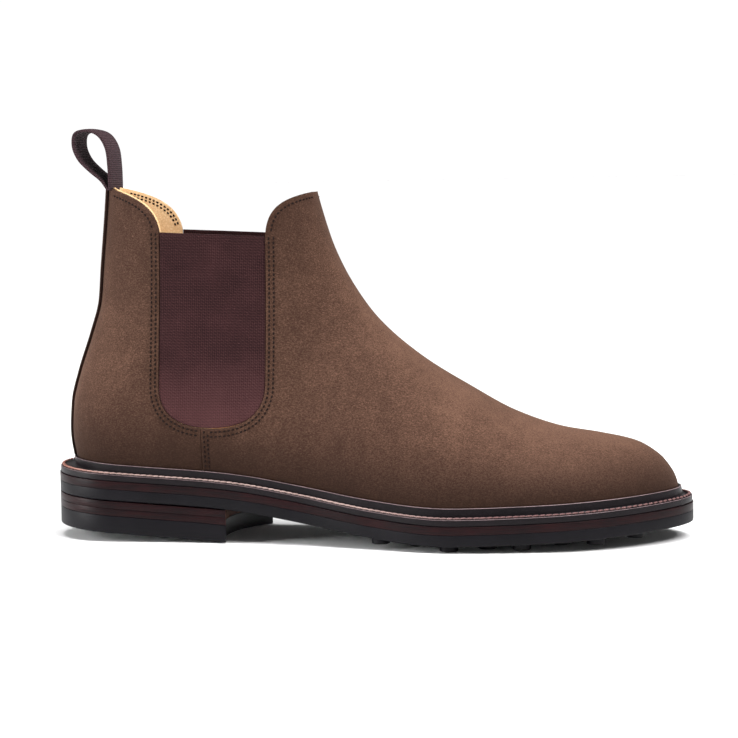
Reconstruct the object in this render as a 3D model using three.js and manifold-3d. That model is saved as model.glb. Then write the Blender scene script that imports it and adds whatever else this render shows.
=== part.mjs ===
// Chelsea boot: welted construction with a suede upper, elastic gores and a studded rubber sole.
// Millimetres, +X to the toe, -Y to the outer side of a right foot, +Z up.
// While the pieces are made, X = 0 is the rear of the sole and Z = 0 the ground.
import * as THREE from 'three';
import { mergeVertices } from 'three/addons/utils/BufferGeometryUtils.js';
import Module from 'manifold-3d';

const wasm = await Module();
wasm.setup();

// Driving dimensions: sole outline
const soleLength = 306;
const lastLength = 306;
const heelWidth = 67;
const waistWidth = 65;
const ballWidth = 106;
const toeWidth = 78;
const heelEndLength = 33;
const toeEndLength = 62;
const waistShift = -4.5;
const toeShift = 6;

// Sole stack, from the ground up
const studHeight = 3;
const studRadius = 4.2;
const studPitch = 16.5;
const studMargin = 8.5;
const studRowsBehind = 2;
const studRows = 8;
const studSides = 8;
const outsoleThickness = 5.2;
const midsoleThickness = 3.5;
const weltThickness = 3.2;
const clearance = 0.3;
const ballX = 198;
const toeSpring = 4.6;
const seatHeight = 21.9;
const seatSlope = 0.06;
const seatEndX = 96;
const shankSlope = 0.17;
const seatBlend = 0.8;

// Heel
const heelBreastOuterX = 90;
const heelBreastInnerX = 98;
const heelBreastHollow = 8;
const heelLiftThickness = 3.15;
const heelPitch = 0.066;
const nailRadius = 1.1;
const nailHoleClearance = 0.35;
const nailRecess = 1.5;
const nailTopGap = 0.1;
const nailSides = 8;

// Welt
const weltEdgeInset = 0.5;
const featherShare = 0.87;
const featherBackX = 9.3;
const featherFrontX = 299.5;
const lipHeight = 4.2;
const lipThickness = 1.1;
const lipFoot = 1.6;
const weltInnerReach = 8.7;
const stitchInset = 1.9;
const stitchWidth = 1;
const stitchHeight = 0.6;
const toeRoundPower = 2.1;

// Upper
const suedeThickness = 1.6;
const liningThickness = 1.2;
const stiffenerThickness = 0.9;
const goreThickness = 2.1;
const goreDepth = 0.5;
const flangeReach = 9;
const counterTop = 28;
const counterFrontX = 72;
const counterMargin = 2;
const puffBackX = 252;
const zoneMargin = 32;
const zoneRamp = 12;
const sideSeamX = 78;
const upperTop = 153;
const archPower = 2.2;
const toeRoundShare = 0.95;
const shaftEndX = 110;
const shaftFade = 60;
const leanHeight = 90;
const leanFrontX = 190;
const puffTop = 60;
const flangeCutDepth = 4;
const flangeCutRise = 8;

// Topline and gore, in side view
const backPeakX = 28;
const backPeakZ = 167.5;
const frontPeakX = 128.6;
const frontPeakZ = 164.2;
const goreRearX = 57.3;
const goreFrontX = 109.2;
const goreRearTopZ = 146.3;
const goreFrontTopZ = 143.9;
const goreShoulderZ = 74;
const goreBottomZ = 54;
const goreLowestShift = -1;
const goreCornerDrop = 12;
const goreRearSweep = 8;
const goreFrontSweep = 9;

// Insole and what lies around it
const insoleThickness = 3;
const sockThickness = 1.2;
const ribWidth = 1.8;
const ribDepth = 2.6;
const shankHalfWidth = 8;
const shankThickness = 1.4;
const shankHeadroom = 4;
const shankRearX = 52;
const shankFrontX = 160;
const padThickness = 1.3;
const padFrontX = 76;
const padInset = 7;
const insoleEase = 0.2;
const sockEase = 0.5;
const recessHeadroom = 2;

// Back strip, tape and pull loop
const stripWidth = 12;
const stripThickness = 1.2;
const tapeWidth = 16;
const tapeThickness = 0.6;
const tapeBottomZ = 118;
const loopWidth = 20;
const loopThickness = 1.2;
const loopTwist = THREE.MathUtils.degToRad(-1.5);
const loopSetback = 0.5;
const loopSteps = 26;

// Mesh density
const sideSteps = 20;
const planSteps = 12;
const shankSteps = 8;
const curveSteps = 8;
const levelGap = 1.2;
const bisections = 40;
const levels = [0, lipHeight, 10, 16, 21, 25.5, 29, 32, 35.5, 41, 49, 59, 71, 85, 101, 119, 137];

// Further than any point of the boot
const beyond = 400;

const weltTop = outsoleThickness + clearance + midsoleThickness + clearance + weltThickness;
const featherHeight = weltTop + clearance;
const weltBottom = weltTop - weltThickness;
const lengthScale = soleLength / lastLength;

// Curves

// Smooth monotone curve through [x, y] points, straight on past both ends.
function smoothCurve(points) {
  const step = (k) => (points[k + 1][1] - points[k][1]) / (points[k + 1][0] - points[k][0]);
  const slopes = points.map((_, k) => {
    if (k === 0) return step(0);
    if (k === points.length - 1) return step(k - 1);
    const before = step(k - 1);
    const after = step(k);
    return before * after <= 0 ? 0 : (2 * before * after) / (before + after);
  });
  return (x) => {
    const last = points.length - 1;
    if (x <= points[0][0]) return points[0][1] + slopes[0] * (x - points[0][0]);
    if (x >= points[last][0]) return points[last][1] + slopes[last] * (x - points[last][0]);
    let k = 0;
    while (x > points[k + 1][0]) k += 1;
    const span = points[k + 1][0] - points[k][0];
    const t = (x - points[k][0]) / span;
    const rise = points[k + 1][1] - points[k][1];
    return points[k][1] + rise * t * t * (3 - 2 * t)
      + span * t * (1 - t) * (slopes[k] * (1 - t) - slopes[k + 1] * t);
  };
}

const smoothStep = (t) => THREE.MathUtils.smoothstep(t, 0, 1);
const endRound = (distance, reach, power) => (
  (1 - (1 - Math.min(Math.max(distance / reach, 0), 1)) ** power) ** (1 / power)
);

const soleHalf = smoothCurve([
  [0, heelWidth / 2],
  [0.14, heelWidth / 2],
  [0.3, waistWidth / 2 - 0.7],
  [0.4, waistWidth / 2],
  [0.52, (waistWidth + 1.2 * ballWidth) / 4.6],
  [0.66, ballWidth / 2],
  [0.78, ballWidth / 2 - 2.5],
  [0.9, (ballWidth + toeWidth) / 4 - 2],
  [1, toeWidth / 2 - 4],
]);
const soleCentre = smoothCurve([
  [0, 0],
  [0.2, 0],
  [0.42, waistShift],
  [0.64, -1.5],
  [0.8, 1.5],
  [1, toeShift],
]);

// Underside of the outsole above the ground.
function soleBase(x) {
  const at = x / lengthScale;
  if (at > ballX) return studHeight + toeSpring * ((at - ballX) / (lastLength - ballX)) ** 1.5;
  const seat = seatHeight - seatSlope * at;
  const seatEnd = seatHeight - seatSlope * seatEndX;
  const span = ballX - seatEndX;
  const t = Math.max((at - seatEndX) / span, 0);
  const waist = seatEnd * (1 + 2 * t) * (1 - t) ** 2 + studHeight * t * t * (3 - 2 * t)
    - shankSlope * (t > 0 ? span * t * (1 - t) ** 2 : at - seatEndX);
  const blend = seatBlend * (1 - t) ** 2;
  return (seat + waist) / 2 - Math.hypot((seat - waist) / 2, blend);
}
const feather = (x) => soleBase(x) + featherHeight;

// Top ridge from the toe to the front of the shaft: [x, height above the feather line].
const ridgeHeight = smoothCurve([
  [90, 1400],
  [105, 420],
  [118, 212],
  [127, 152],
  [131, 135.5],
  [137.4, 116.5],
  [146, 100.7],
  [158, 85.8],
  [177, 71],
  [199.9, 57],
  [222.6, 43.7],
  [245, 35.1],
  [262, 31.5],
  [278.9, 26.9],
  [290, 19.8],
  [295.6, 12.9],
  [298.3, 7.1],
  [featherFrontX, 0],
].map(([x, height]) => [x * lengthScale, height]));

const backX = smoothCurve([
  [0, featherBackX],
  [16, 7.2],
  [30, 8],
  [45, 11.6],
  [65, 18.2],
  [80, 22.4],
  [95, 23.7],
  [132, 27.2],
  [upperTop, 28.5],
]);
const backRounding = smoothCurve([
  [0, 33],
  [25, 33],
  [70, 48],
  [110, 56],
  [upperTop, 58],
]);
const shaftFullness = smoothCurve([
  [0, 0.98],
  [20, 1.08],
  [60, 0.94],
  [110, 0.85],
  [upperTop, 0.86],
]);

function frontX(height) {
  let low = frontPeakX / 2;
  let high = featherFrontX * lengthScale;
  for (let k = 0; k < bisections; k += 1) {
    const middle = (low + high) / 2;
    if (ridgeHeight(middle) > height) low = middle;
    else high = middle;
  }
  return high;
}

// One point of the upper's outside. side is -1 for the outer wall and 1 for the inner wall.
function upperPoint(side, t, height) {
  const rear = backX(height);
  const front = frontX(height);
  const x = rear + ((front - rear) * (1 - Math.cos(Math.PI * t))) / 2;
  const share = (x - featherBackX) / (featherFrontX * lengthScale - featherBackX);
  const arch = Math.sqrt(Math.max(1 - (height / ridgeHeight(x)) ** archPower, 0));
  const rearEnd = endRound(x - rear, backRounding(height), 2);
  const toeEnd = endRound(featherFrontX * lengthScale - x, toeEndLength * toeRoundShare, toeRoundPower);
  const fullness = THREE.MathUtils.lerp(shaftFullness(height), 1, smoothStep((x - shaftEndX) / shaftFade));
  const half = soleHalf(share) * featherShare * fullness * arch * rearEnd * toeEnd;
  const lean = 1 - smoothStep(height / leanHeight) * smoothStep((leanFrontX - x) / shaftFade);
  const y = soleCentre(share) * lean + side * (t === 0 || t === 1 ? 0 : half);
  return new THREE.Vector3(x, y, feather(x) + height);
}

// Closed loop of [side, t] stations: the outer side to the toe and the inner side back.
const loopStations = [];
for (let k = 0; k <= sideSteps; k += 1) loopStations.push([-1, k / sideSteps]);
for (let k = sideSteps - 1; k > 0; k -= 1) loopStations.push([1, k / sideSteps]);
const loopSize = loopStations.length;

function loopNormals(points) {
  return points.map((_, k) => {
    const before = points[(k + loopSize - 1) % loopSize];
    const after = points[(k + 1) % loopSize];
    return new THREE.Vector3(after.y - before.y, before.x - after.x, 0).normalize();
  });
}

function insetLoop(points, depth) {
  const normals = loopNormals(points);
  return points.map((p, k) => p.clone().addScaledVector(normals[k], -depth));
}

const soleLoop = loopStations.map(([side, t]) => {
  const x = (soleLength * (1 - Math.cos(Math.PI * t))) / 2;
  const half = soleHalf(x / soleLength) * endRound(x, heelEndLength, 2)
    * endRound(soleLength - x, toeEndLength, toeRoundPower);
  return new THREE.Vector3(x, soleCentre(x / soleLength) + side * half, 0);
});
const featherLoop = loopStations.map(([side, t]) => upperPoint(side, t, 0).setZ(0));

// Solids

// Closed mesh from rings of equal length, each ring capped by rungs between its two sides.
function ringSolid(rings) {
  const position = [];
  rings.forEach((ring) => ring.forEach((p) => position.push(p.x, p.y, p.z)));
  const index = [];
  for (let j = 0; j + 1 < rings.length; j += 1) {
    for (let k = 0; k < loopSize; k += 1) {
      const a = j * loopSize + k;
      const b = j * loopSize + ((k + 1) % loopSize);
      index.push(a, b, b + loopSize, a, b + loopSize, a + loopSize);
    }
  }
  const top = (rings.length - 1) * loopSize;
  for (let k = 0; k < sideSteps; k += 1) {
    const outer = [k, k + 1];
    const inner = [(loopSize - k) % loopSize, loopSize - k - 1];
    if (k > 0) {
      index.push(outer[0], inner[0], outer[1]);
      index.push(top + outer[0], top + outer[1], top + inner[0]);
    }
    if (k < sideSteps - 1) {
      index.push(outer[1], inner[0], inner[1]);
      index.push(top + outer[1], top + inner[1], top + inner[0]);
    }
  }
  const geometry = new THREE.BufferGeometry();
  geometry.setAttribute('position', new THREE.Float32BufferAttribute(position, 3));
  geometry.setIndex(index);
  return toSolid(geometry);
}

function toSolid(geometry) {
  geometry.deleteAttribute('normal');
  geometry.deleteAttribute('uv');
  const merged = mergeVertices(geometry, 1e-4);
  return new wasm.Manifold(new wasm.Mesh({
    numProp: 3,
    vertProperties: new Float32Array(merged.attributes.position.array),
    triVerts: new Uint32Array(merged.index.array),
  }));
}

function toGeometry(solid) {
  const mesh = solid.getMesh();
  const geometry = new THREE.BufferGeometry();
  geometry.setAttribute('position', new THREE.BufferAttribute(mesh.vertProperties, 3));
  geometry.setIndex(new THREE.BufferAttribute(mesh.triVerts, 1));
  const flat = geometry.toNonIndexed();
  flat.computeVertexNormals();
  return flat;
}

// Inside of the upper at a depth under its outside, from one height above the feather line to another.
function upperVolume(depthAt, bottom, top) {
  const inner = levels.filter((level) => level > bottom + levelGap && level < top - levelGap);
  const heights = [bottom, ...inner, top];
  const grid = heights.map((height) => loopStations.map(([side, t]) => upperPoint(side, t, height)));
  const rings = grid.map((ring, j) => ring.map((p, k) => {
    const along = ring[(k + 1) % loopSize].clone().sub(ring.at(k - 1));
    const lower = grid[Math.max(j - 1, 0)][k];
    const upper = grid[Math.min(j + 1, grid.length - 1)][k];
    const normal = along.cross(upper.clone().sub(lower));
    if (j === 0 || j === grid.length - 1) normal.setZ(0);
    return p.clone().addScaledVector(normal.normalize(), -depthAt(p.x, heights[j]));
  }));
  return ringSolid(rings);
}

// Plate with the plan of a loop, between two heights over the sole's underside.
function plate(loop, low, high) {
  const ring = (height) => loop.map((p) => new THREE.Vector3(p.x, p.y, soleBase(p.x) + height));
  return ringSolid([ring(low), ring(high)]);
}

function box(low, high) {
  const size = new THREE.Vector3().subVectors(high, low);
  const geometry = new THREE.BoxGeometry(size.x, size.y, size.z);
  geometry.translate(...low.clone().add(high).multiplyScalar(0.5).toArray());
  return toSolid(geometry);
}
const slab = (x0, x1) => box(
  new THREE.Vector3(x0, -beyond, -beyond),
  new THREE.Vector3(x1, beyond, beyond),
);

// Prism with a side-view outline (x, z), as deep as asked along Y.
function sidePrism(shape, y0 = -beyond, y1 = beyond) {
  const geometry = new THREE.ExtrudeGeometry(shape, {
    depth: y1 - y0, bevelEnabled: false, curveSegments: curveSteps,
  });
  geometry.rotateX(Math.PI / 2);
  geometry.translate(0, y1, 0);
  return toSolid(geometry);
}

// Prism with a plan outline whose two faces follow their own height functions.
function planPrism(shape, lowAt, highAt) {
  const geometry = new THREE.ExtrudeGeometry(shape, { depth: 1, bevelEnabled: false });
  const position = geometry.attributes.position;
  for (let k = 0; k < position.count; k += 1) {
    const x = position.getX(k);
    position.setZ(k, position.getZ(k) > 0.5 ? highAt(x) : lowAt(x));
  }
  return toSolid(geometry);
}

// Post standing along Z.
function post(x, y, low, high, radius, sides) {
  const geometry = new THREE.CylinderGeometry(radius, radius, high - low, sides);
  geometry.rotateX(Math.PI / 2);
  geometry.translate(x, y, (low + high) / 2);
  return toSolid(geometry);
}

// Side-view outlines

function aboveTopline() {
  const shape = new THREE.Shape();
  shape.moveTo(-beyond, backPeakZ);
  shape.lineTo(backPeakX, backPeakZ);
  shape.bezierCurveTo(
    backPeakX + 15, backPeakZ - 4,
    goreRearX - 2, goreRearTopZ + 13,
    goreRearX, goreRearTopZ,
  );
  shape.lineTo(goreFrontX, goreFrontTopZ);
  shape.bezierCurveTo(
    goreFrontX + 0.5, goreFrontTopZ + 12,
    frontPeakX - 13, frontPeakZ - 3.5,
    frontPeakX, frontPeakZ,
  );
  shape.lineTo(beyond, frontPeakZ);
  shape.lineTo(beyond, beyond);
  shape.lineTo(-beyond, beyond);
  return shape;
}

function goreOutline(inset) {
  const rear = goreRearX + inset;
  const front = goreFrontX - inset;
  const middle = (rear + front) / 2 + goreLowestShift;
  const low = goreBottomZ + inset;
  const corner = goreShoulderZ - goreCornerDrop;
  const shape = new THREE.Shape();
  shape.moveTo(rear, beyond);
  shape.lineTo(rear, goreShoulderZ);
  shape.bezierCurveTo(rear, corner, rear + goreRearSweep, low, middle, low);
  shape.bezierCurveTo(front - goreFrontSweep, low, front, corner, front, goreShoulderZ);
  shape.lineTo(front, beyond);
  return shape;
}

// Shared depths and cutters

const flat = (depth) => () => depth;
function stiffenerZone(x, height) {
  const toe = smoothStep((x - puffBackX * lengthScale + zoneMargin) / zoneRamp);
  const heel = smoothStep((counterFrontX + zoneMargin - x) / zoneRamp)
    * smoothStep((counterTop + zoneMargin - height) / zoneRamp);
  return Math.max(toe, heel);
}
const liningOuter = (x, height) => (
  suedeThickness + clearance + stiffenerZone(x, height) * (stiffenerThickness + clearance)
);
const liningInner = (x, height) => liningOuter(x, height) + liningThickness;
const innerWall = suedeThickness + clearance + stiffenerThickness;

const toplineCut = sidePrism(aboveTopline());
const goreHole = sidePrism(goreOutline(0));
const flangeTop = suedeThickness;
const bedHeight = flangeTop + clearance;
const behindSeam = slab(-beyond, sideSeamX - clearance / 2);
const beforeSeam = slab(sideSeamX + clearance / 2, beyond);
const flangeOpening = plate(
  insetLoop(featherLoop, flangeReach), featherHeight - flangeCutDepth, featherHeight + flangeCutRise,
);

const suedeShell = upperVolume(flat(0), 0, upperTop)
  .subtract(upperVolume(flat(suedeThickness), flangeTop, upperTop + 1))
  .subtract(flangeOpening)
  .subtract(toplineCut)
  .subtract(goreHole);
const liningShell = upperVolume(liningOuter, bedHeight, upperTop)
  .subtract(upperVolume(liningInner, bedHeight - 1, upperTop + 1))
  .subtract(toplineCut)
  .subtract(goreHole);

// Upper pieces

const makeVamp = () => suedeShell.intersect(beforeSeam);
const makeBackQuarter = () => suedeShell.intersect(behindSeam);
const makeVampLining = () => liningShell.intersect(beforeSeam);
const makeQuarterLining = () => liningShell.intersect(behindSeam);

function makeGore(side) {
  const half = side < 0
    ? sidePrism(goreOutline(clearance), -beyond, -1)
    : sidePrism(goreOutline(clearance), 1, beyond);
  return upperVolume(flat(goreDepth), bedHeight, upperTop)
    .subtract(upperVolume(flat(goreDepth + goreThickness), bedHeight - 1, upperTop + 1))
    .subtract(toplineCut)
    .intersect(half);
}

function makeStiffener(x0, x1, top) {
  return upperVolume(flat(suedeThickness + clearance), bedHeight, top)
    .subtract(upperVolume(flat(innerWall), bedHeight - 1, top + 1))
    .intersect(slab(x0, x1));
}
const makeToePuff = () => makeStiffener(puffBackX * lengthScale, beyond, puffTop);
const makeHeelCounter = () => makeStiffener(-beyond, counterFrontX, counterTop)
  .subtract(sidePrism(goreOutline(-counterMargin)));

function makeBackBand(width, near, far, bottom, top) {
  return upperVolume(flat(near), bottom, upperTop)
    .subtract(upperVolume(flat(far), bottom - 1, upperTop + 1))
    .subtract(toplineCut)
    .intersect(box(
      new THREE.Vector3(-beyond, -width / 2, 0),
      new THREE.Vector3(goreRearX, width / 2, top),
    ));
}
const makeBackStrip = () => makeBackBand(
  stripWidth, -clearance - stripThickness, -clearance, lipHeight + clearance, beyond,
);
const tapeDepth = suedeThickness + clearance + liningThickness + clearance;
const makeBackSeamTape = () => makeBackBand(
  tapeWidth, tapeDepth, tapeDepth + tapeThickness, tapeBottomZ - feather(0), backPeakZ - 2,
);

// Ribbon path in side view, from the front leg over the top to the rear leg.
function makePullLoop() {
  const path = new THREE.CatmullRomCurve3([
    new THREE.Vector3(3.2, 0.9, 0),
    new THREE.Vector3(3.0, 10, 0),
    new THREE.Vector3(1.9, 19, 0),
    new THREE.Vector3(-2.0, 25.4, 0),
    new THREE.Vector3(-8.4, 27.8, 0),
    new THREE.Vector3(-14.2, 26.2, 0),
    new THREE.Vector3(-15.2, 20, 0),
    new THREE.Vector3(-12.6, 13.6, 0),
    new THREE.Vector3(-7.4, 8.2, 0),
    new THREE.Vector3(-1.6, 3.4, 0),
    new THREE.Vector3(1.0, 0.9, 0),
  ]);
  const front = [];
  const back = [];
  for (let k = 0; k <= loopSteps; k += 1) {
    const p = path.getPoint(k / loopSteps);
    const tangent = path.getTangent(k / loopSteps);
    const across = new THREE.Vector2(-tangent.y, tangent.x).multiplyScalar(loopThickness / 2);
    front.push(new THREE.Vector2(p.x - across.x, p.y - across.y));
    back.push(new THREE.Vector2(p.x + across.x, p.y + across.y));
  }
  const ribbon = new THREE.Shape([...front, ...back.reverse()]);
  const geometry = new THREE.ExtrudeGeometry(ribbon, { depth: loopWidth, bevelEnabled: false });
  geometry.rotateX(Math.PI / 2);
  geometry.translate(0, loopWidth / 2, 0);
  geometry.rotateZ(loopTwist);
  geometry.translate(backPeakX - loopSetback, 0, backPeakZ);
  return toSolid(geometry);
}

// Sole pieces

function makeOutsole() {
  let sole = plate(soleLoop, 0, outsoleThickness);
  for (let row = 0; row < studRows; row += 1) {
    const x = (ballX + (row - studRowsBehind) * studPitch) * lengthScale;
    const centre = soleCentre(x / soleLength);
    const half = soleHalf(x / soleLength) * endRound(soleLength - x, toeEndLength, toeRoundPower);
    const reach = half - studMargin;
    const count = Math.max(Math.round(reach / studPitch), 1);
    const stagger = row % 2 === 0 ? 0 : 0.5;
    for (let column = stagger - count; column <= count; column += 1) {
      const low = soleBase(x) - studHeight;
      const top = low + studHeight + outsoleThickness / 2;
      const y = centre + (column / count) * reach;
      sole = sole.add(post(x, y, low, top, studRadius, studSides));
    }
  }
  return sole;
}

const midsoleLow = outsoleThickness + clearance;
const makeMidsole = () => plate(soleLoop, midsoleLow, midsoleLow + midsoleThickness);

function makeStormWelt() {
  const at = (loop, height) => loop.map((p) => new THREE.Vector3(p.x, p.y, soleBase(p.x) + height));
  const lipLoop = loopStations.map(([side, t]) => upperPoint(side, t, lipHeight).setZ(0));
  const edge = insetLoop(soleLoop, weltEdgeInset);
  const lipTop = featherHeight + lipHeight;
  const section = [
    at(insetLoop(featherLoop, weltInnerReach), weltBottom),
    at(edge, weltBottom),
    at(edge, weltTop),
    at(insetLoop(featherLoop, -lipFoot), weltTop),
    at(insetLoop(lipLoop, -clearance - lipThickness), lipTop),
    at(insetLoop(lipLoop, -clearance), lipTop),
    at(insetLoop(featherLoop, -clearance), weltTop),
    at(insetLoop(featherLoop, weltInnerReach), weltTop),
  ];
  return sweptRing(section);
}

// Ring whose section has one loop for each of its corners.
function sweptRing(corners) {
  const position = [];
  corners.forEach((loop) => loop.forEach((p) => position.push(p.x, p.y, p.z)));
  const index = [];
  for (let j = 0; j < corners.length; j += 1) {
    const next = (j + 1) % corners.length;
    for (let k = 0; k < loopSize; k += 1) {
      const a = j * loopSize + k;
      const b = j * loopSize + ((k + 1) % loopSize);
      const c = next * loopSize + ((k + 1) % loopSize);
      const d = next * loopSize + k;
      index.push(a, b, c, a, c, d);
    }
  }
  const geometry = new THREE.BufferGeometry();
  geometry.setAttribute('position', new THREE.Float32BufferAttribute(position, 3));
  geometry.setIndex(index);
  return toSolid(geometry);
}

function ring(loop, near, far, low, high) {
  const at = (depth, height) => insetLoop(loop, depth)
    .map((p) => new THREE.Vector3(p.x, p.y, soleBase(p.x) + height));
  return sweptRing([at(far, low), at(near, low), at(near, high), at(far, high)]);
}

const makeWeltStitching = () => ring(
  soleLoop, stitchInset - stitchWidth / 2, stitchInset + stitchWidth / 2,
  weltTop + clearance, weltTop + clearance + stitchHeight,
);

const ribNear = flangeReach + clearance;
const makeInsoleRib = () => ring(
  featherLoop, ribNear, ribNear + ribWidth,
  featherHeight - ribDepth, featherHeight + flangeTop,
);

function shankSolid(grow, headroom) {
  const shape = new THREE.Shape();
  const length = shankFrontX - shankRearX + 2 * grow;
  const station = (k) => shankRearX - grow + (length * k) / shankSteps;
  const edge = (k, side) => [
    station(k), soleCentre(station(k) / soleLength) + side * (shankHalfWidth + grow),
  ];
  shape.moveTo(...edge(0, -1));
  for (let k = 1; k <= shankSteps; k += 1) shape.lineTo(...edge(k, -1));
  for (let k = shankSteps; k >= 0; k -= 1) shape.lineTo(...edge(k, 1));
  const top = (x) => feather(x) + flangeTop - clearance / 2;
  return planPrism(shape, (x) => top(x) - shankThickness - grow, (x) => top(x) + headroom);
}
const makeShank = () => shankSolid(0, 0);
const makeCorkFiller = () => plate(
  insetLoop(featherLoop, ribNear + ribWidth + clearance), weltBottom, featherHeight + flangeTop,
).subtract(shankSolid(clearance, shankHeadroom));

const bedDepth = (inset) => (x, height) => liningInner(x, height) + clearance + inset;
const insoleTop = bedHeight + insoleThickness;
function padSolid(grow, headroom) {
  const top = insoleTop - clearance;
  return upperVolume(bedDepth(padInset - grow), top - padThickness - grow, top + headroom)
    .intersect(slab(-beyond, padFrontX + grow));
}
const makeInsole = () => upperVolume(bedDepth(insoleEase), bedHeight, insoleTop)
  .subtract(padSolid(clearance, recessHeadroom));
const makeHeelPad = () => padSolid(0, 0);
const makeSockLiner = () => upperVolume(
  bedDepth(sockEase), insoleTop + clearance, insoleTop + clearance + sockThickness,
);

// Heel pieces

function heelPlan() {
  const half = (x) => soleHalf(x / soleLength) * endRound(x, heelEndLength, 2);
  const reach = (side, front, t) => {
    const x = (front * (1 - Math.cos((Math.PI * t) / 2)));
    return [x, soleCentre(x / soleLength) + side * half(x)];
  };
  const shape = new THREE.Shape();
  shape.moveTo(...reach(-1, heelBreastOuterX, 1));
  for (let k = planSteps - 1; k >= 0; k -= 1) {
    shape.lineTo(...reach(-1, heelBreastOuterX, k / planSteps));
  }
  for (let k = 1; k <= planSteps; k += 1) {
    shape.lineTo(...reach(1, heelBreastInnerX, k / planSteps));
  }
  const middle = (heelBreastOuterX + heelBreastInnerX) / 2;
  const [x, y] = reach(-1, heelBreastOuterX, 1);
  shape.quadraticCurveTo(middle - 2 * heelBreastHollow, soleCentre(middle / soleLength), x, y);
  return shape;
}

const heelSeatSlope = (soleBase(0) - soleBase(heelBreastInnerX)) / heelBreastInnerX;
const liftFace = (count) => (x) => (
  soleBase(0) - heelSeatSlope * x - clearance - count * (heelLiftThickness + clearance)
);
const heelGround = (x) => heelPitch * (heelBreastInnerX - x);
const nailPlaces = [[12, 0], [28, -20], [28, 20], [58, -22], [58, 22]];

function withNailHoles(solid) {
  let drilled = solid;
  nailPlaces.forEach(([x, y]) => {
    drilled = drilled.subtract(post(
      x, y, -beyond, beyond, nailRadius + nailHoleClearance, nailSides,
    ));
  });
  return drilled;
}
function makeHeelLift(count) {
  const high = liftFace(count);
  const low = (x) => high(x) - heelLiftThickness;
  return withNailHoles(planPrism(heelPlan(), low, high));
}
const makeHeelTopPiece = () => withNailHoles(planPrism(heelPlan(), heelGround, liftFace(2)));
function makeHeelNail(k) {
  const [x, y] = nailPlaces[k];
  const top = Math.min(liftFace(0)(x - nailRadius), liftFace(0)(x + nailRadius)) - nailTopGap;
  return post(x, y, heelGround(x) + nailRecess, top, nailRadius, nailSides);
}

// Finishes

const finish = (color, roughness, metalness = 0) => (
  new THREE.MeshStandardMaterial({ color, roughness, metalness })
);
const suede = finish(0x5c4638, 0.95);
const liningLeather = finish(0xe0b884, 0.6);
const elastic = finish(0x4a2c30, 0.85);
const ribbon = finish(0x54404a, 0.8);
const rubber = finish(0x1e1c20, 0.6);
const soleLeather = finish(0x30120f, 0.45);
const weltLeather = finish(0x1b1618, 0.4);
const thread = finish(0xb09488, 0.8);
const cork = finish(0x9c7448, 0.95);
const steel = finish(0x9aa0a4, 0.35, 1);
const board = finish(0xa9845c, 0.9);
const foam = finish(0xd8c8a8, 0.95);

const pieces = {
  vamp: [makeVamp(), suede],
  back_quarter: [makeBackQuarter(), suede],
  gore_lateral: [makeGore(-1), elastic],
  gore_medial: [makeGore(1), elastic],
  vamp_lining: [makeVampLining(), liningLeather],
  quarter_lining: [makeQuarterLining(), liningLeather],
  toe_puff: [makeToePuff(), board],
  heel_counter: [makeHeelCounter(), board],
  back_strip: [makeBackStrip(), suede],
  back_seam_tape: [makeBackSeamTape(), liningLeather],
  pull_loop: [makePullLoop(), ribbon],
  insole: [makeInsole(), board],
  insole_rib: [makeInsoleRib(), board],
  sock_liner: [makeSockLiner(), liningLeather],
  heel_pad: [makeHeelPad(), foam],
  cork_filler: [makeCorkFiller(), cork],
  shank: [makeShank(), steel],
  storm_welt: [makeStormWelt(), weltLeather],
  welt_stitching: [makeWeltStitching(), thread],
  midsole: [makeMidsole(), soleLeather],
  outsole: [makeOutsole(), rubber],
  heel_lift_upper: [makeHeelLift(0), soleLeather],
  heel_lift_lower: [makeHeelLift(1), soleLeather],
  heel_top_piece: [makeHeelTopPiece(), rubber],
};
nailPlaces.forEach((_, k) => {
  pieces[`heel_nail_${k + 1}`] = [makeHeelNail(k), steel];
});

const boot = new THREE.Group();
Object.entries(pieces).forEach(([name, [solid, material]]) => {
  const mesh = new THREE.Mesh(toGeometry(solid), material);
  mesh.name = name;
  boot.add(mesh);
});

// The origin stands on the ground under the middle of the sole.
const widths = soleLoop.map((p) => p.y);
boot.position.set(-soleLength / 2, -(Math.min(...widths) + Math.max(...widths)) / 2, 0);

export default boot;
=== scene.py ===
"""Chelsea boot: suede upper, elastic gores, storm welt and studded rubber sole, built round its frame.

Shapes are worked out in millimetres with X = 0 at the rear of the sole, -Y on the outer side and Z = 0 on the
ground, and are placed in the frame's metres when their mesh is made.
"""
import math
import bpy
import numpy as np
from bpy.props import FloatProperty, FloatVectorProperty, PointerProperty
from mathutils import Matrix, Vector
from mathutils.kdtree import KDTree


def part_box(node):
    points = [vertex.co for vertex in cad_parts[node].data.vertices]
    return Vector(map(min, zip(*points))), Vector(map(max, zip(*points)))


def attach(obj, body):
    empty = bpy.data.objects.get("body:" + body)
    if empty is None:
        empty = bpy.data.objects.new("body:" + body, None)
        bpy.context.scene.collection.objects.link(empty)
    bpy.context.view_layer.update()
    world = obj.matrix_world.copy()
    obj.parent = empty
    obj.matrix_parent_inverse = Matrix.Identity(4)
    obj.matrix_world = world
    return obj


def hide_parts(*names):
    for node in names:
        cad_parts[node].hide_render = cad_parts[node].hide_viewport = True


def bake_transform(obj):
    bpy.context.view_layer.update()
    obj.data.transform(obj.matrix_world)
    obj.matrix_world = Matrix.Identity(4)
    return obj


bl_info = {
    "name": "Chelsea boot",
    "version": (1, 0, 0),
    "blender": (4, 5, 0),
    "location": "View3D > Sidebar > Boot",
    "description": "Builds a welted chelsea boot around its frame",
    "category": "Object",
}

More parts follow.
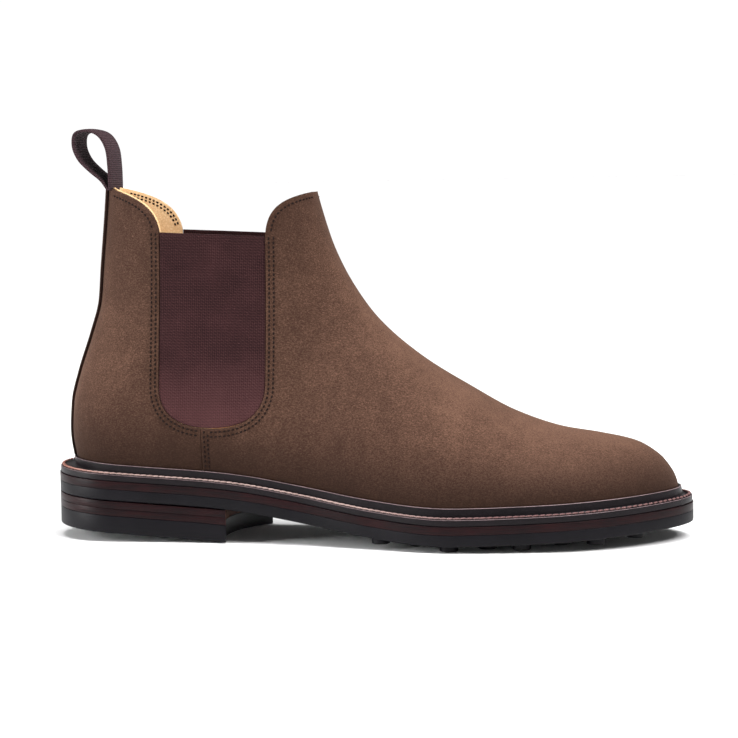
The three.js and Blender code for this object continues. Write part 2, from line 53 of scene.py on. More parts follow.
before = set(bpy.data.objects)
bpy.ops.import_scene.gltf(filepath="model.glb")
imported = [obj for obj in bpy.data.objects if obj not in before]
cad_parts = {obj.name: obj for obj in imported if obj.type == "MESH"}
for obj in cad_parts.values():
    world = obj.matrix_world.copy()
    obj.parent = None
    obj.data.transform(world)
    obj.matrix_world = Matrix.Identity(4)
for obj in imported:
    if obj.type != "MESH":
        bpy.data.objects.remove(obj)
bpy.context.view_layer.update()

MM = 0.001
SOLE_LOW, SOLE_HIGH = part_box("outsole")
SOLE_LENGTH = (SOLE_HIGH.x - SOLE_LOW.x) / MM


# Sizes, in millimetres

HEEL_WIDTH = 67
WAIST_WIDTH = 65
BALL_WIDTH = 106
TOE_WIDTH = 78
HEEL_END = 33
TOE_END = 62
WAIST_SHIFT = -4.5
TOE_SHIFT = 6
HEEL_ROUND = 2
TOE_ROUND = 2.1

CLEARANCE = 0.3
# Points nearer than the first become one. The sole's layers rise by the second, to close their joints.
SEAM_GAP = 0.02
SOLE_FILL = 0.22
STUD_HEIGHT = 3
STUD_ROWS = 8
STUD_ROWS_BEHIND = 2
STUD_MARGIN = 8.5
STUD_ROOT = 0.8
STUD_DISH = 0.35
OUTSOLE = 5.2
MIDSOLE = 3.5
WELT = 3.2
WELT_TOP = OUTSOLE + CLEARANCE + MIDSOLE + CLEARANCE + WELT
WELT_BOTTOM = WELT_TOP - WELT
FEATHER_HEIGHT = WELT_TOP + CLEARANCE
FEATHER_SHARE = 0.87
FEATHER_BACK = 9.3
FEATHER_FRONT = 299.5
LIP_HEIGHT = 4.2
LIP_THICKNESS = 1.1
LIP_FOOT = 1.6
WELT_REACH = 8.7
WELT_EDGE_INSET = 0.5

BALL_X = 198
TOE_SPRING = 4.6
SEAT_HEIGHT = 21.9
SEAT_SLOPE = 0.06
SEAT_END = 96
SHANK_SLOPE = 0.17
SEAT_BLEND = 0.8

BREAST_OUTER = 90
BREAST_INNER = 98
BREAST_HOLLOW = 8
LIFT = 3.15
HEEL_PITCH = 0.066
NAIL_HOLE = 1.45
NAIL_PLACES = [(12, 0), (28, -20), (28, 20), (58, -22), (58, 22)]

SUEDE = 1.6
LINING = 1.2
STIFFENER = 0.9
GORE = 2.1
GORE_DEPTH = 0.5
LINING_RISE = 0.3
COUNTER_TOP = 28
COUNTER_FRONT = 72
PUFF_BACK = 252
ZONE_MARGIN = 32
ZONE_RAMP = 12
SEAM_X = 78
BACK_PEAK = (28, 167.5)
FRONT_PEAK = (128.6, 164.2)
QUARTER_PULLS = ((15, -4), (-2, 13))
VAMP_PULLS = ((0.5, 12), (-13, -3.5))
GORE_REAR = 57.3
GORE_FRONT = 109.2
GORE_REAR_TOP = 146.3
GORE_FRONT_TOP = 143.9
GORE_LIGHTENING_TOP = 96
GORE_DROP = 12
GORE_SHOULDER = 74
GORE_BOTTOM = 54
GORE_LOW_X = (GORE_REAR + GORE_FRONT) / 2 - 1
INSOLE_BED = SUEDE + CLEARANCE

# The upper's walls: how square their arch is, where the shaft's own width fades into the foot's, and
# how far up and forward they turn from the sole's bent middle line to the shaft's straight one.
ARCH_POWER = 2.2
TOE_SHARE = 0.95
SHAFT_END = 110
SHAFT_FADE = 60
LEAN_HEIGHT = 90
LEAN_FRONT = 190
LEAN_FADE = 60

# Heights over the feather line: painted shade darkens the suede below the first, most near the welt, and from
# the second on painted shade darkens it over the third.
LOW_REACH = 36
SHADE_START = 95
SHADE_REACH = 50

STRIP_WIDTH = 12
STRIP = 1.2
TAPE_WIDTH = 16
TAPE = 0.6
TAPE_BOTTOM = 118
TAPE_DROP = 2

# Rows of stitches beside the edges they follow. The lining's rows follow the quarter's top row.
QUARTER_ROWS = (-1.4, -3.6)
VAMP_ROWS = (-1.6, -3.8)
TOPLINE_ROW = -2.6
LINING_ROWS = (1.2, -0.2)
SIDE_SEAM_ROWS = (1.6, 3.4)
STITCH_LIFT = 0.1

LOOP_SETBACK = 0.5
LOOP_CUP = 0.35
LOOP_TWIST = -1.5


# Curves

def smooth_curve(points):
    """Monotone curve through (x, y) points, straight on past both ends."""
    xs = np.array([p[0] for p in points], float)
    ys = np.array([p[1] for p in points], float)
    rise = np.diff(ys) / np.diff(xs)
    turn = rise[:-1] * rise[1:]
    total = np.where(turn > 0, rise[:-1] + rise[1:], 1)
    inner = np.where(turn > 0, 2 * turn / total, 0)
    slopes = np.concatenate([rise[:1], inner, rise[-1:]])

    def curve(x):
        x = np.asarray(x, float)
        k = np.clip(np.searchsorted(xs, x, side="right") - 1, 0, len(xs) - 2)
        span = xs[k + 1] - xs[k]
        t = (x - xs[k]) / span
        value = ys[k] + (ys[k + 1] - ys[k]) * t * t * (3 - 2 * t)
        value = value + span * t * (1 - t) * (slopes[k] * (1 - t) - slopes[k + 1] * t)
        value = np.where(x < xs[0], ys[0] + slopes[0] * (x - xs[0]), value)
        return np.where(x > xs[-1], ys[-1] + slopes[-1] * (x - xs[-1]), value)

    return curve


def smooth_step(t):
    t = np.clip(t, 0, 1)
    return t * t * (3 - 2 * t)


def end_round(distance, reach, power):
    share = np.clip(distance / reach, 0, 1)
    return (1 - (1 - share) ** power) ** (1 / power)


def bezier(points, count):
    """Cubic curve on four control points."""
    a, b, c, d = (np.array(p, float) for p in points)
    t = np.linspace(0, 1, count)[:, None]
    return a * (1 - t) ** 3 + 3 * b * t * (1 - t) ** 2 + 3 * c * t * t * (1 - t) + d * t ** 3


def straight(start, end, count):
    return np.linspace(np.array(start, float), np.array(end, float), count)


def upright_line(x, low, high):
    """An upright line in side view."""
    return straight((x, low), (x, high), DENSE)


sole_half = smooth_curve([
    (0, HEEL_WIDTH / 2),
    (0.14, HEEL_WIDTH / 2),
    (0.3, WAIST_WIDTH / 2 - 0.7),
    (0.4, WAIST_WIDTH / 2),
    (0.52, (WAIST_WIDTH + 1.2 * BALL_WIDTH) / 4.6),
    (0.66, BALL_WIDTH / 2),
    (0.78, BALL_WIDTH / 2 - 2.5),
    (0.9, (BALL_WIDTH + TOE_WIDTH) / 4 - 2),
    (1, TOE_WIDTH / 2 - 4),
])
sole_centre = smooth_curve([
    (0, 0),
    (0.2, 0),
    (0.42, WAIST_SHIFT),
    (0.64, -1.5),
    (0.8, 1.5),
    (1, TOE_SHIFT),
])


def heel_end(x):
    return end_round(x, HEEL_END, HEEL_ROUND)


def toe_end(x):
    return end_round(SOLE_LENGTH - x, TOE_END, TOE_ROUND)


def sole_base(x):
    """Underside of the outsole above the ground."""
    x = np.asarray(x, float)
    spring = STUD_HEIGHT + TOE_SPRING * np.clip((x - BALL_X) / (SOLE_LENGTH - BALL_X), 0, None) ** 1.5
    seat = SEAT_HEIGHT - SEAT_SLOPE * x
    seat_end = SEAT_HEIGHT - SEAT_SLOPE * SEAT_END
    span = BALL_X - SEAT_END
    t = np.clip((x - SEAT_END) / span, 0, 1)
    drop = np.where(t > 0, span * t * (1 - t) ** 2, x - SEAT_END)
    waist = seat_end * (1 + 2 * t) * (1 - t) ** 2 + STUD_HEIGHT * t * t * (3 - 2 * t) - SHANK_SLOPE * drop
    blend = SEAT_BLEND * (1 - t) ** 2
    return np.where(x > BALL_X, spring, (seat + waist) / 2 - np.hypot((seat - waist) / 2, blend))


def feather(x):
    """Line where the upper meets the welt."""
    return sole_base(x) + FEATHER_HEIGHT


RIDGE_BACK = 95.0
ridge_height = smooth_curve([
    (90, 1400),
    (105, 420),
    (118, 212),
    (127, 152),
    (131, 135.5),
    (137.4, 116.5),
    (146, 100.7),
    (158, 85.8),
    (177, 71),
    (199.9, 57),
    (222.6, 43.7),
    (245, 35.1),
    (262, 31.5),
    (278.9, 26.9),
    (290, 19.8),
    (295.6, 12.9),
    (298.3, 7.1),
    (FEATHER_FRONT, 0),
])
back_x = smooth_curve([
    (0, FEATHER_BACK),
    (16, 7.2),
    (30, 8),
    (45, 11.6),
    (65, 18.2),
    (80, 22.4),
    (95, 23.7),
    (132, 27.2),
    (153, 28.5),
])
back_rounding = smooth_curve([(0, 33), (25, 33), (70, 48), (110, 56), (153, 58)])
shaft_fullness = smooth_curve([(0, 0.98), (20, 1.08), (60, 0.94), (110, 0.85), (153, 0.86)])


def between(is_low, low, high, rounds=40):
    """Where is_low turns false between two places, found by halving. Gives the places on its two sides."""
    for _ in range(rounds):
        middle = (low + high) / 2
        below = is_low(middle)
        low = np.where(below, middle, low)
        high = np.where(below, high, middle)
    return low, high


def front_x(height):
    """Where the top ridge stands at a height over the feather line."""
    low = np.full(np.shape(height), RIDGE_BACK)
    high = np.full(np.shape(height), float(FEATHER_FRONT))
    return between(lambda x: ridge_height(x) > height, low, high)[1]


# The upper's outside. A place on it is (around, height): around runs from -1 at the back over the
# outer wall to 0 at the front ridge, and on over the inner wall to 1 at the back.

def upper_point(around, height):
    around = (around + 1) % 2 - 1
    side = np.sign(around)
    t = 1 - np.abs(around)
    rear = back_x(height)
    x = rear + (front_x(height) - rear) * (1 - np.cos(math.pi * t)) / 2
    share = (x - FEATHER_BACK) / (FEATHER_FRONT - FEATHER_BACK)
    crown = np.clip(height, 0, None) / np.maximum(ridge_height(x), 1e-6)
    arch = np.sqrt(np.clip(1 - crown ** ARCH_POWER, 0, None))
    heel = end_round(x - rear, back_rounding(height), HEEL_ROUND)
    toe = end_round(FEATHER_FRONT - x, TOE_END * TOE_SHARE, TOE_ROUND)
    instep = smooth_step((x - SHAFT_END) / SHAFT_FADE)
    fullness = shaft_fullness(height) * (1 - instep) + instep
    half = sole_half(share) * FEATHER_SHARE * fullness * arch * (heel * toe)
    lean = 1 - smooth_step(height / LEAN_HEIGHT) * smooth_step((LEAN_FRONT - x) / LEAN_FADE)
    return np.stack([x, sole_centre(share) * lean + side * half, feather(x) + height], -1)


def upper_normal(around, height):
    step = 1e-3
    rise = 0.05
    along = upper_point(around + step, height) - upper_point(around - step, height)
    up = upper_point(around, height + rise) - upper_point(around, np.clip(height - rise, 0, None))
    normal = np.cross(along, up)
    return normal / np.linalg.norm(normal, axis=-1, keepdims=True)


def depth_of(depth, x, height):
    """A depth that is a number, or a function of x and height."""
    return depth(x, height) if callable(depth) else np.full(np.shape(x), float(depth))


def upper_at(places, depth):
    """Points at a depth under the upper's outside."""
    around, height = places[..., 0], places[..., 1]
    points = upper_point(around, height)
    return points - upper_normal(around, height) * depth_of(depth, points[..., 0], height)[..., None]


def on_wall(points):
    """Places on the outer wall of side-view points (x, z)."""
    x, z = points[:, 0], points[:, 1]
    height = z - feather(x)
    rear = back_x(height)
    share = np.clip((x - rear) / (front_x(height) - rear), 0, 1)
    return np.stack([np.arccos(1 - 2 * share) / math.pi - 1, height], -1)


def spread(places, count):
    """The same line with count equal steps along its length."""
    points = upper_point(places[:, 0], places[:, 1])
    steps = np.linalg.norm(np.diff(points, axis=0), axis=1)
    length = np.concatenate([[0], np.cumsum(steps)])
    stops = np.linspace(0, length[-1], count + 1)
    return np.stack([np.interp(stops, length, places[:, k]) for k in range(2)], -1)


def patch(bottom, top, left, right):
    """Grid of places between four edges that share their corners."""
    u = np.linspace(0, 1, len(bottom))[None, :, None]
    v = np.linspace(0, 1, len(left))[:, None, None]
    across = left[:, None] * (1 - u) + right[:, None] * u
    upward = bottom[None] * (1 - v) + top[None] * v
    low = bottom[0] * (1 - u) + bottom[-1] * u
    high = top[0] * (1 - u) + top[-1] * u
    return across + upward - (low * (1 - v) + high * v)


def mirrored(grid):
    """The same grid on the inner wall."""
    return (grid * np.array([-1, 1]))[:, ::-1]


# Outlines in side view

LOW_ROWS = 34
HIGH_ROWS = 62
BACK_COLUMNS = 34
BELOW_COLUMNS = 12
FRONT_COLUMNS = 80
GORE_COLUMNS = 34
RIDGE_SPLIT = 36
REAR_FOOT = 44
FRONT_FOOT = 134
DENSE = 300


def ridge_top(z):
    """Height over the feather line where the front ridge reaches z."""
    low, high = np.array(60.0), np.array(152.0)
    return float(between(lambda height: feather(front_x(height)) + height < z, low, high)[0])


def back_top(z):
    """Height over the feather line where the back reaches z."""
    height = z - feather(BACK_PEAK[0])
    for _ in range(8):
        height = z - feather(back_x(height))
    return float(height)


def top_curve(start, end, pulls):
    """A topline in side view. pulls are how far its two handles stand from its ends."""
    start, end = np.array(start), np.array(end)
    return bezier([start, start + pulls[0], end + pulls[1], end], DENSE)


def quarter_top():
    return top_curve(BACK_PEAK, (GORE_REAR, GORE_REAR_TOP), QUARTER_PULLS)


def vamp_top():
    return top_curve((GORE_FRONT, GORE_FRONT_TOP), FRONT_PEAK, VAMP_PULLS)


def quarter_topline(rise):
    """Places of the topline from the back to the gore."""
    places = on_wall(quarter_top() + (0, rise))
    return np.concatenate([[(-1, back_top(BACK_PEAK[1] + rise))], places])


def vamp_topline(rise):
    """Places of the topline from the gore to the front."""
    places = on_wall(vamp_top() + (0, rise))
    return np.concatenate([places, [(0, ridge_top(FRONT_PEAK[1] + rise))]])


def gore_bottom(inset):
    """The gore's round lower end, from its rear shoulder to its front one."""
    rear, front, low = GORE_REAR + inset, GORE_FRONT - inset, GORE_BOTTOM + inset
    drop = GORE_SHOULDER - GORE_DROP
    back = bezier([(rear, GORE_SHOULDER), (rear, drop), (rear + 8, low), (GORE_LOW_X, low)], DENSE)
    ahead = bezier([(GORE_LOW_X, low), (front - 9, low), (front, drop), (front, GORE_SHOULDER)], DENSE)
    return np.concatenate([back, ahead[1:]])


def level_line(start, end, height):
    return np.stack([np.linspace(start, end, DENSE), np.full(DENSE, float(height))], -1)


def upright(around, low, high):
    return np.stack([np.full(DENSE, float(around)), np.linspace(low, high, DENSE)], -1)


def in_two(lower, upper):
    return np.concatenate([spread(lower, LOW_ROWS), spread(upper, HIGH_ROWS)[1:]])


def foot_to_shoulder(foot, shoulder, bottom):
    start = (foot, float(feather(foot)) + bottom)
    return on_wall(straight(start, (shoulder, GORE_SHOULDER), DENSE))


def quarter_grids(bottom=0, rise=0):
    """Places of the back quarter on the outer wall: behind the gore and below it."""
    slant = foot_to_shoulder(REAR_FOOT, GORE_REAR, bottom)
    edge = on_wall(upright_line(GORE_REAR, GORE_SHOULDER, GORE_REAR_TOP + rise))
    topline = quarter_topline(rise)
    middle = GORE_SHOULDER - float(feather(back_x(40)))
    behind = patch(
        spread(level_line(-1, slant[0, 0], bottom), BACK_COLUMNS),
        spread(topline, BACK_COLUMNS),
        in_two(upright(-1, bottom, middle), upright(-1, middle, topline[0, 1])),
        in_two(slant, edge),
    )
    arc = gore_bottom(0)
    end = SEAM_X - CLEARANCE / 2
    arc = arc[arc[:, 0] < end]
    seam = on_wall(upright_line(end, float(feather(end)) + bottom, arc[-1, 1]))
    below = patch(
        spread(level_line(slant[0, 0], seam[0, 0], bottom), BELOW_COLUMNS),
        spread(np.concatenate([on_wall(arc), seam[-1:]]), BELOW_COLUMNS),
        spread(slant, LOW_ROWS),
        spread(seam, LOW_ROWS),
    )
    return [behind, below]


def vamp_grids(bottom=0, rise=0):
    """Places of the vamp on the outer wall: below the gore and ahead of it."""
    slant = foot_to_shoulder(FRONT_FOOT, GORE_FRONT, bottom)
    edge = on_wall(upright_line(GORE_FRONT, GORE_SHOULDER, GORE_FRONT_TOP + rise))
    topline = vamp_topline(rise)
    ahead = patch(
        spread(level_line(slant[0, 0], 0, bottom), FRONT_COLUMNS),
        spread(topline, FRONT_COLUMNS),
        in_two(slant, edge),
        in_two(upright(0, bottom, RIDGE_SPLIT), upright(0, RIDGE_SPLIT, topline[-1, 1])),
    )
    arc = gore_bottom(0)
    start = SEAM_X + CLEARANCE / 2
    arc = arc[arc[:, 0] > start]
    seam = on_wall(upright_line(start, float(feather(start)) + bottom, arc[0, 1]))
    below = patch(
        spread(level_line(seam[0, 0], slant[0, 0], bottom), 2 * BELOW_COLUMNS),
        spread(np.concatenate([seam[-1:], on_wall(arc)]), 2 * BELOW_COLUMNS),
        spread(seam, LOW_ROWS),
        spread(slant, LOW_ROWS),
    )
    return [below, ahead]


def gore_grid():
    """Places of one gore on the outer wall, inside its hole in the suede."""
    rear, front = GORE_REAR + CLEARANCE, GORE_FRONT - CLEARANCE
    rear_edge = upright_line(rear, GORE_SHOULDER, GORE_REAR_TOP)
    front_edge = upright_line(front, GORE_SHOULDER, GORE_FRONT_TOP)
    return patch(
        spread(on_wall(gore_bottom(CLEARANCE)), GORE_COLUMNS),
        spread(on_wall(straight(rear_edge[-1], front_edge[-1], DENSE)), GORE_COLUMNS),
        spread(on_wall(rear_edge), HIGH_ROWS),
        spread(on_wall(front_edge), HIGH_ROWS),
    )


# Meshes

SIDE_STEPS = 170
LOOP_AROUND = np.linspace(-1, 1, 2 * SIDE_STEPS, endpoint=False)


def sole_edge():
    """Plan points of the sole's edge, once round from the rear over the outer side."""
    x = SOLE_LENGTH * (1 - np.cos(math.pi * (1 - np.abs(LOOP_AROUND)))) / 2
    half = sole_half(x / SOLE_LENGTH) * heel_end(x) * toe_end(x)
    return np.stack([x, sole_centre(x / SOLE_LENGTH) + np.sign(LOOP_AROUND) * half, np.zeros_like(x)], -1)


SOLE_LOOP = sole_edge()
SHIFT_X = SOLE_LOW.x / MM
SHIFT_Y = (SOLE_LOW.y + SOLE_HIGH.y) / 2 / MM - (SOLE_LOOP[:, 1].min() + SOLE_LOOP[:, 1].max()) / 2


def placed(points):
    """Metres in the frame."""
    return (np.asarray(points, float) + np.array([SHIFT_X, SHIFT_Y, 0])) * MM


def place(x, y, z):
    return tuple(placed([x, y, z]))


def flat_plan(points):
    return points * np.array([1, 1, 0])


FEATHER_LOOP = flat_plan(upper_point(LOOP_AROUND, np.zeros_like(LOOP_AROUND)))
LIP_LOOP = flat_plan(upper_point(LOOP_AROUND, np.full_like(LOOP_AROUND, LIP_HEIGHT)))


def inset(loop, depth):
    along = np.roll(loop, -1, axis=0) - np.roll(loop, 1, axis=0)
    outward = np.stack([along[:, 1], -along[:, 0], np.zeros(len(loop))], -1)
    return loop - outward / np.linalg.norm(outward, axis=1, keepdims=True) * depth


def raised(loop, height):
    """A plan loop at a height over the sole's underside."""
    lifted = loop.copy()
    lifted[:, 2] = sole_base(loop[:, 0]) + height
    return lifted


def rounded(corners, radii, steps=4):
    """Section loops with each corner loop rounded off. Returns the loops, and for each its corner's
    number and how near it is to the middle of the corner."""
    loops, places = [], []
    for k, radius in enumerate(radii):
        corner = corners[k]
        ends = []
        for other in (corners[k - 1], corners[(k + 1) % len(corners)]):
            way = other - corner
            ends.append(corner + way / np.linalg.norm(way, axis=1, keepdims=True) * radius)
        for t in np.linspace(0, 1, steps + 1) if radius else [0]:
            loops.append(ends[0] * (1 - t) ** 2 + corner * 2 * t * (1 - t) + ends[1] * t * t)
            places.append((k, 1 - abs(2 * t - 1)))
    return loops, places


def activate(obj):
    bpy.ops.object.select_all(action="DESELECT")
    obj.select_set(True)
    bpy.context.view_layer.objects.active = obj


def new_piece(name, points, faces):
    """A mesh object from points in millimetres."""
    mesh = bpy.data.meshes.new(name)
    mesh.from_pydata(placed(points).tolist(), [], faces)
    obj = bpy.data.objects.new(name, mesh)
    bpy.context.collection.objects.link(obj)
    return obj


def grid_faces(rows, columns, first=0, close=False):
    """Quads of a grid of points, each row joined to the next one. close joins each row's ends."""
    faces = []
    for j in range(rows - 1):
        for k in range(columns if close else columns - 1):
            a = first + j * columns + k
            b = first + j * columns + (k + 1) % columns
            faces.append((a, b, b + columns, a + columns))
    return faces


def merged(points, faces):
    """Points that coincide become one. Returns each kept point's number and the faces of kept points."""
    tree = KDTree(len(points))
    for k, point in enumerate(points):
        tree.insert(point, k)
    tree.balance()
    owner = [min(found[1] for found in tree.find_range(point, SEAM_GAP)) for point in points]
    kept = sorted(set(owner))
    number = {k: n for n, k in enumerate(kept)}
    joined = []
    for face in faces:
        corners = list(dict.fromkeys(number[owner[v]] for v in face))
        if len(corners) > 2:
            joined.append(tuple(corners))
    return kept, joined


def round_edges(obj, radius, segments=2, rim=-1):
    """Rounds a piece's sharp edges. rim is the number of their material."""
    edge = obj.modifiers.new("Edge", "BEVEL")
    edge.width = radius * MM
    edge.segments = segments
    edge.limit_method = "ANGLE"
    edge.angle_limit = math.radians(50)
    edge.material = rim
    apply_modifiers(obj)


def skin(name, grids, depth, thickness, edge_radius):
    """A wall of one piece of the upper, from grids of places on it. Its rounded rims have the second
    material."""
    outside, inside, faces, low, crest = [], [], [], [], []
    first = 0
    for grid in grids:
        rows, columns = grid.shape[:2]
        # Painted shade: the suede darkens towards the welt, below LOW_REACH.
        low.append(smooth_step(1 - grid[..., 1] / LOW_REACH).ravel())
        # Painted light on up-facing suede, less painted shade high on the shaft from SHADE_START on.
        top_shade = 0.35 * smooth_step((grid[..., 1] - SHADE_START) / SHADE_REACH)
        crest.append((np.clip(upper_normal(grid[..., 0], grid[..., 1])[..., 2], 0, 1) - top_shade).ravel())
        outside.append(upper_at(grid, depth).reshape(-1, 3))
        inside.append(upper_at(grid, lambda x, h: depth_of(depth, x, h) + thickness).reshape(-1, 3))
        faces += grid_faces(rows, columns, first)
        first += rows * columns
    outside, inside = np.concatenate(outside), np.concatenate(inside)
    kept, outer_faces = merged(outside, faces)
    total = len(kept)
    inner_faces = [tuple(v + total for v in reversed(face)) for face in outer_faces]
    rim = [pair for face in outer_faces for pair in zip(face, face[1:] + face[:1])]
    known = set(rim)
    rim_faces = [(b, a, a + total, b + total) for a, b in rim if (b, a) not in known]
    both = np.concatenate([outside[kept], inside[kept]])
    obj = new_piece(name, both, outer_faces + inner_faces + rim_faces)
    mark_points(obj, np.tile(np.concatenate(low)[kept], 2), "low")
    mark_points(obj, np.tile(np.concatenate(crest)[kept], 2), "crest")
    obj.data.materials.append(None)
    obj.data.materials.append(None)
    slots = np.zeros(len(obj.data.polygons), np.int32)
    slots[-len(rim_faces):] = 1
    obj.data.polygons.foreach_set("material_index", slots)
    round_edges(obj, edge_radius, rim=1)
    smooth(obj, 65)
    return obj


def weave_map(obj, places):
    """UV map of a woven piece, in millimetres, from a place for each of its vertices."""
    layer = obj.data.uv_layers.new(name="Weave")
    index = np.array([loop.vertex_index for loop in obj.data.loops])
    layer.data.foreach_set("uv", places[index].ravel())


def vertex_points(obj):
    return np.array([v.co for v in obj.data.vertices])


def apply_modifiers(obj):
    activate(obj)
    for name in [m.name for m in obj.modifiers]:
        bpy.ops.object.modifier_apply(modifier=name)


def smooth(obj, degrees=40):
    activate(obj)
    bpy.ops.object.shade_smooth_by_angle(angle=math.radians(degrees))


def thicken(obj, thickness, edge_radius):
    """Gives a sheet its wall, on its inner side, with rounded rims in the second material."""
    wall = obj.modifiers.new("Wall", "SOLIDIFY")
    wall.thickness = thickness * MM
    wall.offset = -1
    wall.use_even_offset = True
    wall.use_quality_normals = True
    wall.material_offset_rim = 1
    round_edges(obj, edge_radius, rim=1)
    smooth(obj, 65)


def band(name, loops, marks=None):
    """A closed band whose section has one loop for each of its points."""
    columns = len(loops[0])
    faces = grid_faces(len(loops) + 1, columns, close=True)
    total = len(loops) * columns
    faces = [tuple(v % total for v in face) for face in faces]
    obj = new_piece(name, np.concatenate(loops), faces)
    if marks is not None:
        mark_points(obj, np.repeat(marks, columns))
    smooth(obj)
    return obj


def plate(name, loop, low, high, radii):
    """A plate between two heights over the sole's underside, its rim rounded below and above."""
    turns = np.linspace(0, math.pi / 2, 5)
    loops = []
    for radius, level, side, order in ((radii[0], low, 1, turns), (radii[1], high, -1, turns[::-1])):
        for turn in order:
            inward = radius * (1 - math.sin(turn))
            loops.append(raised(inset(loop, inward), level + side * radius * (1 - math.cos(turn))))
    columns = len(loop)
    faces = grid_faces(len(loops), columns, close=True)
    top = (len(loops) - 1) * columns
    for k in range(SIDE_STEPS):
        outer = (k, k + 1)
        inner = ((columns - k) % columns, columns - k - 1)
        rung = list(dict.fromkeys([outer[0], inner[0], inner[1], outer[1]]))
        faces.append(tuple(rung))
        faces.append(tuple(top + v for v in reversed(rung)))
    obj = new_piece(name, np.concatenate(loops), faces)
    smooth(obj)
    return obj


def mark_points(obj, values, name="edge"):
    attribute = obj.data.attributes.new(name, "FLOAT", "POINT")
    attribute.data.foreach_set("value", np.asarray(values, np.float32))


def grain():
    """One stitch, a millimetre long and wide: its points and faces."""
    bpy.ops.object.select_all(action="DESELECT")
    bpy.ops.mesh.primitive_uv_sphere_add(segments=8, ring_count=6, radius=0.5, rotation=(0, math.pi / 2, 0))
    bpy.ops.object.transform_apply(rotation=True)
    ball = bpy.context.object
    points = vertex_points(ball)
    points[:, 0] = np.sign(points[:, 0]) * np.abs(points[:, 0] * 2) ** 0.8 / 2
    faces = [tuple(p.vertices) for p in ball.data.polygons]
    bpy.data.objects.remove(ball)
    return points, faces


def stitches(name, centres, along, outward, size, slant=0):
    """Stitches at points, each laid along its own direction. size is length, width and height."""
    shape, shape_faces = grain()
    shape = shape * np.array(size)
    turn = np.array([
        [math.cos(slant), math.sin(slant), 0],
        [-math.sin(slant), math.cos(slant), 0],
        [0, 0, 1],
    ])
    shape = shape @ turn
    along = along / np.linalg.norm(along, axis=1, keepdims=True)
    across = np.cross(outward, along)
    across = across / np.linalg.norm(across, axis=1, keepdims=True)
    axes = np.stack([along, across, np.cross(along, across)], 1)
    points = np.einsum("pk,skc->spc", shape, axes) + centres[:, None]
    faces = []
    for k in range(len(centres)):
        faces += [tuple(v + k * len(shape) for v in face) for face in shape_faces]
    obj = new_piece(name, points.reshape(-1, 3), faces)
    activate(obj)
    bpy.ops.object.shade_smooth()
    return obj


# Materials

class Signal:
    """A socket of a material. Arithmetic on it adds Math nodes."""

    def __init__(self, finish, socket):
        self.finish = finish
        self.socket = socket

    def maths(self, operation, *others):
        values = dict(enumerate(others))
        return self.finish.node("ShaderNodeMath", {"operation": operation}, values)

    def __add__(self, other):
        return self.maths("ADD", self, other)

    def __sub__(self, other):
        return self.maths("SUBTRACT", self, other)

    def __rsub__(self, other):
        return self.maths("SUBTRACT", other, self)

    def __mul__(self, other):
        return self.maths("MULTIPLY", self, other)

    def __truediv__(self, other):
        return self.maths("DIVIDE", self, other)

    def __pow__(self, other):
        return self.maths("POWER", self, other)

    __radd__ = __add__
    __rmul__ = __mul__

    def sine(self):
        """Sine of the signal, from 0 to 1."""
        return self.maths("SINE", self) * 0.5 + 0.5

    def wave(self, length):
        """The sine that repeats at a length."""
        return (self * (2 * math.pi / length)).sine()

    def above(self, low, high):
        """0 below low and 1 above high, smooth between them."""
        settings = {"interpolation_type": "SMOOTHSTEP"}
        values = {"Value": self, "From Min": low, "From Max": high}
        return self.finish.node("ShaderNodeMapRange", settings, values)


class Finish:
    """One material and its nodes."""

    def __init__(self, name):
        self.material = bpy.data.materials.new(name)
        self.material.use_nodes = True
        self.tree = self.material.node_tree
        self.tree.nodes.clear()

    def node(self, kind, settings=None, values=None, output=0):
        """Adds a node with its settings and its sockets' values or links, and gives one output."""
        node = self.tree.nodes.new(kind)
        for key, value in (settings or {}).items():
            setattr(node, key, value)
        for key, value in (values or {}).items():
            if isinstance(value, Signal):
                self.tree.links.new(value.socket, node.inputs[key])
            else:
                node.inputs[key].default_value = value
        return Signal(self, node.outputs[output]) if node.outputs else None

    def place(self, stretch=(1, 1, 1)):
        """Object coordinates in millimetres, stretched along the axes."""
        where = self.node("ShaderNodeTexCoord", output="Object")
        scale = tuple(1000 * s for s in stretch)
        return self.node("ShaderNodeMapping", values={"Vector": where, "Scale": scale})

    def noise(self, size, where=None, detail=3.0, roughness=0.55):
        """Cloudy noise with features of a size in millimetres."""
        values = {"Vector": where or self.place(), "Scale": 1 / size}
        values.update({"Detail": detail, "Roughness": roughness})
        return self.node("ShaderNodeTexNoise", values=values)

    def cells(self, size, where=None, feature="F1"):
        values = {"Vector": where or self.place(), "Scale": 1 / size}
        return self.node("ShaderNodeTexVoronoi", {"feature": feature}, values)

    def mark(self, name):
        """A number that the mesh carries at its points."""
        return self.node("ShaderNodeAttribute", {"attribute_name": name}, output="Fac")

    def axis(self, where, name):
        return self.node("ShaderNodeSeparateXYZ", values={"Vector": where}, output=name)

    def mix(self, share, first, second):
        """Colour between two colours."""
        values = {0: share, 6: first, 7: second}
        return self.node("ShaderNodeMix", {"data_type": "RGBA"}, values, output=2)

    def bump(self, height, depth, normal=None):
        """Surface relief. depth is in millimetres."""
        values = {"Height": height, "Distance": depth * MM, "Strength": 1.0}
        if normal:
            values["Normal"] = normal
        return self.node("ShaderNodeBump", values=values)

    def surface(self, **sockets):
        """Ends the material with its shader. Socket names use _ for spaces."""
        values = {key.replace("_", " "): value for key, value in sockets.items()}
        shader = self.node("ShaderNodeBsdfPrincipled", values=values, output="BSDF")
        self.node("ShaderNodeOutputMaterial", values={"Surface": shader})
        return self.material


def colour(value):
    return (*value, 1.0)


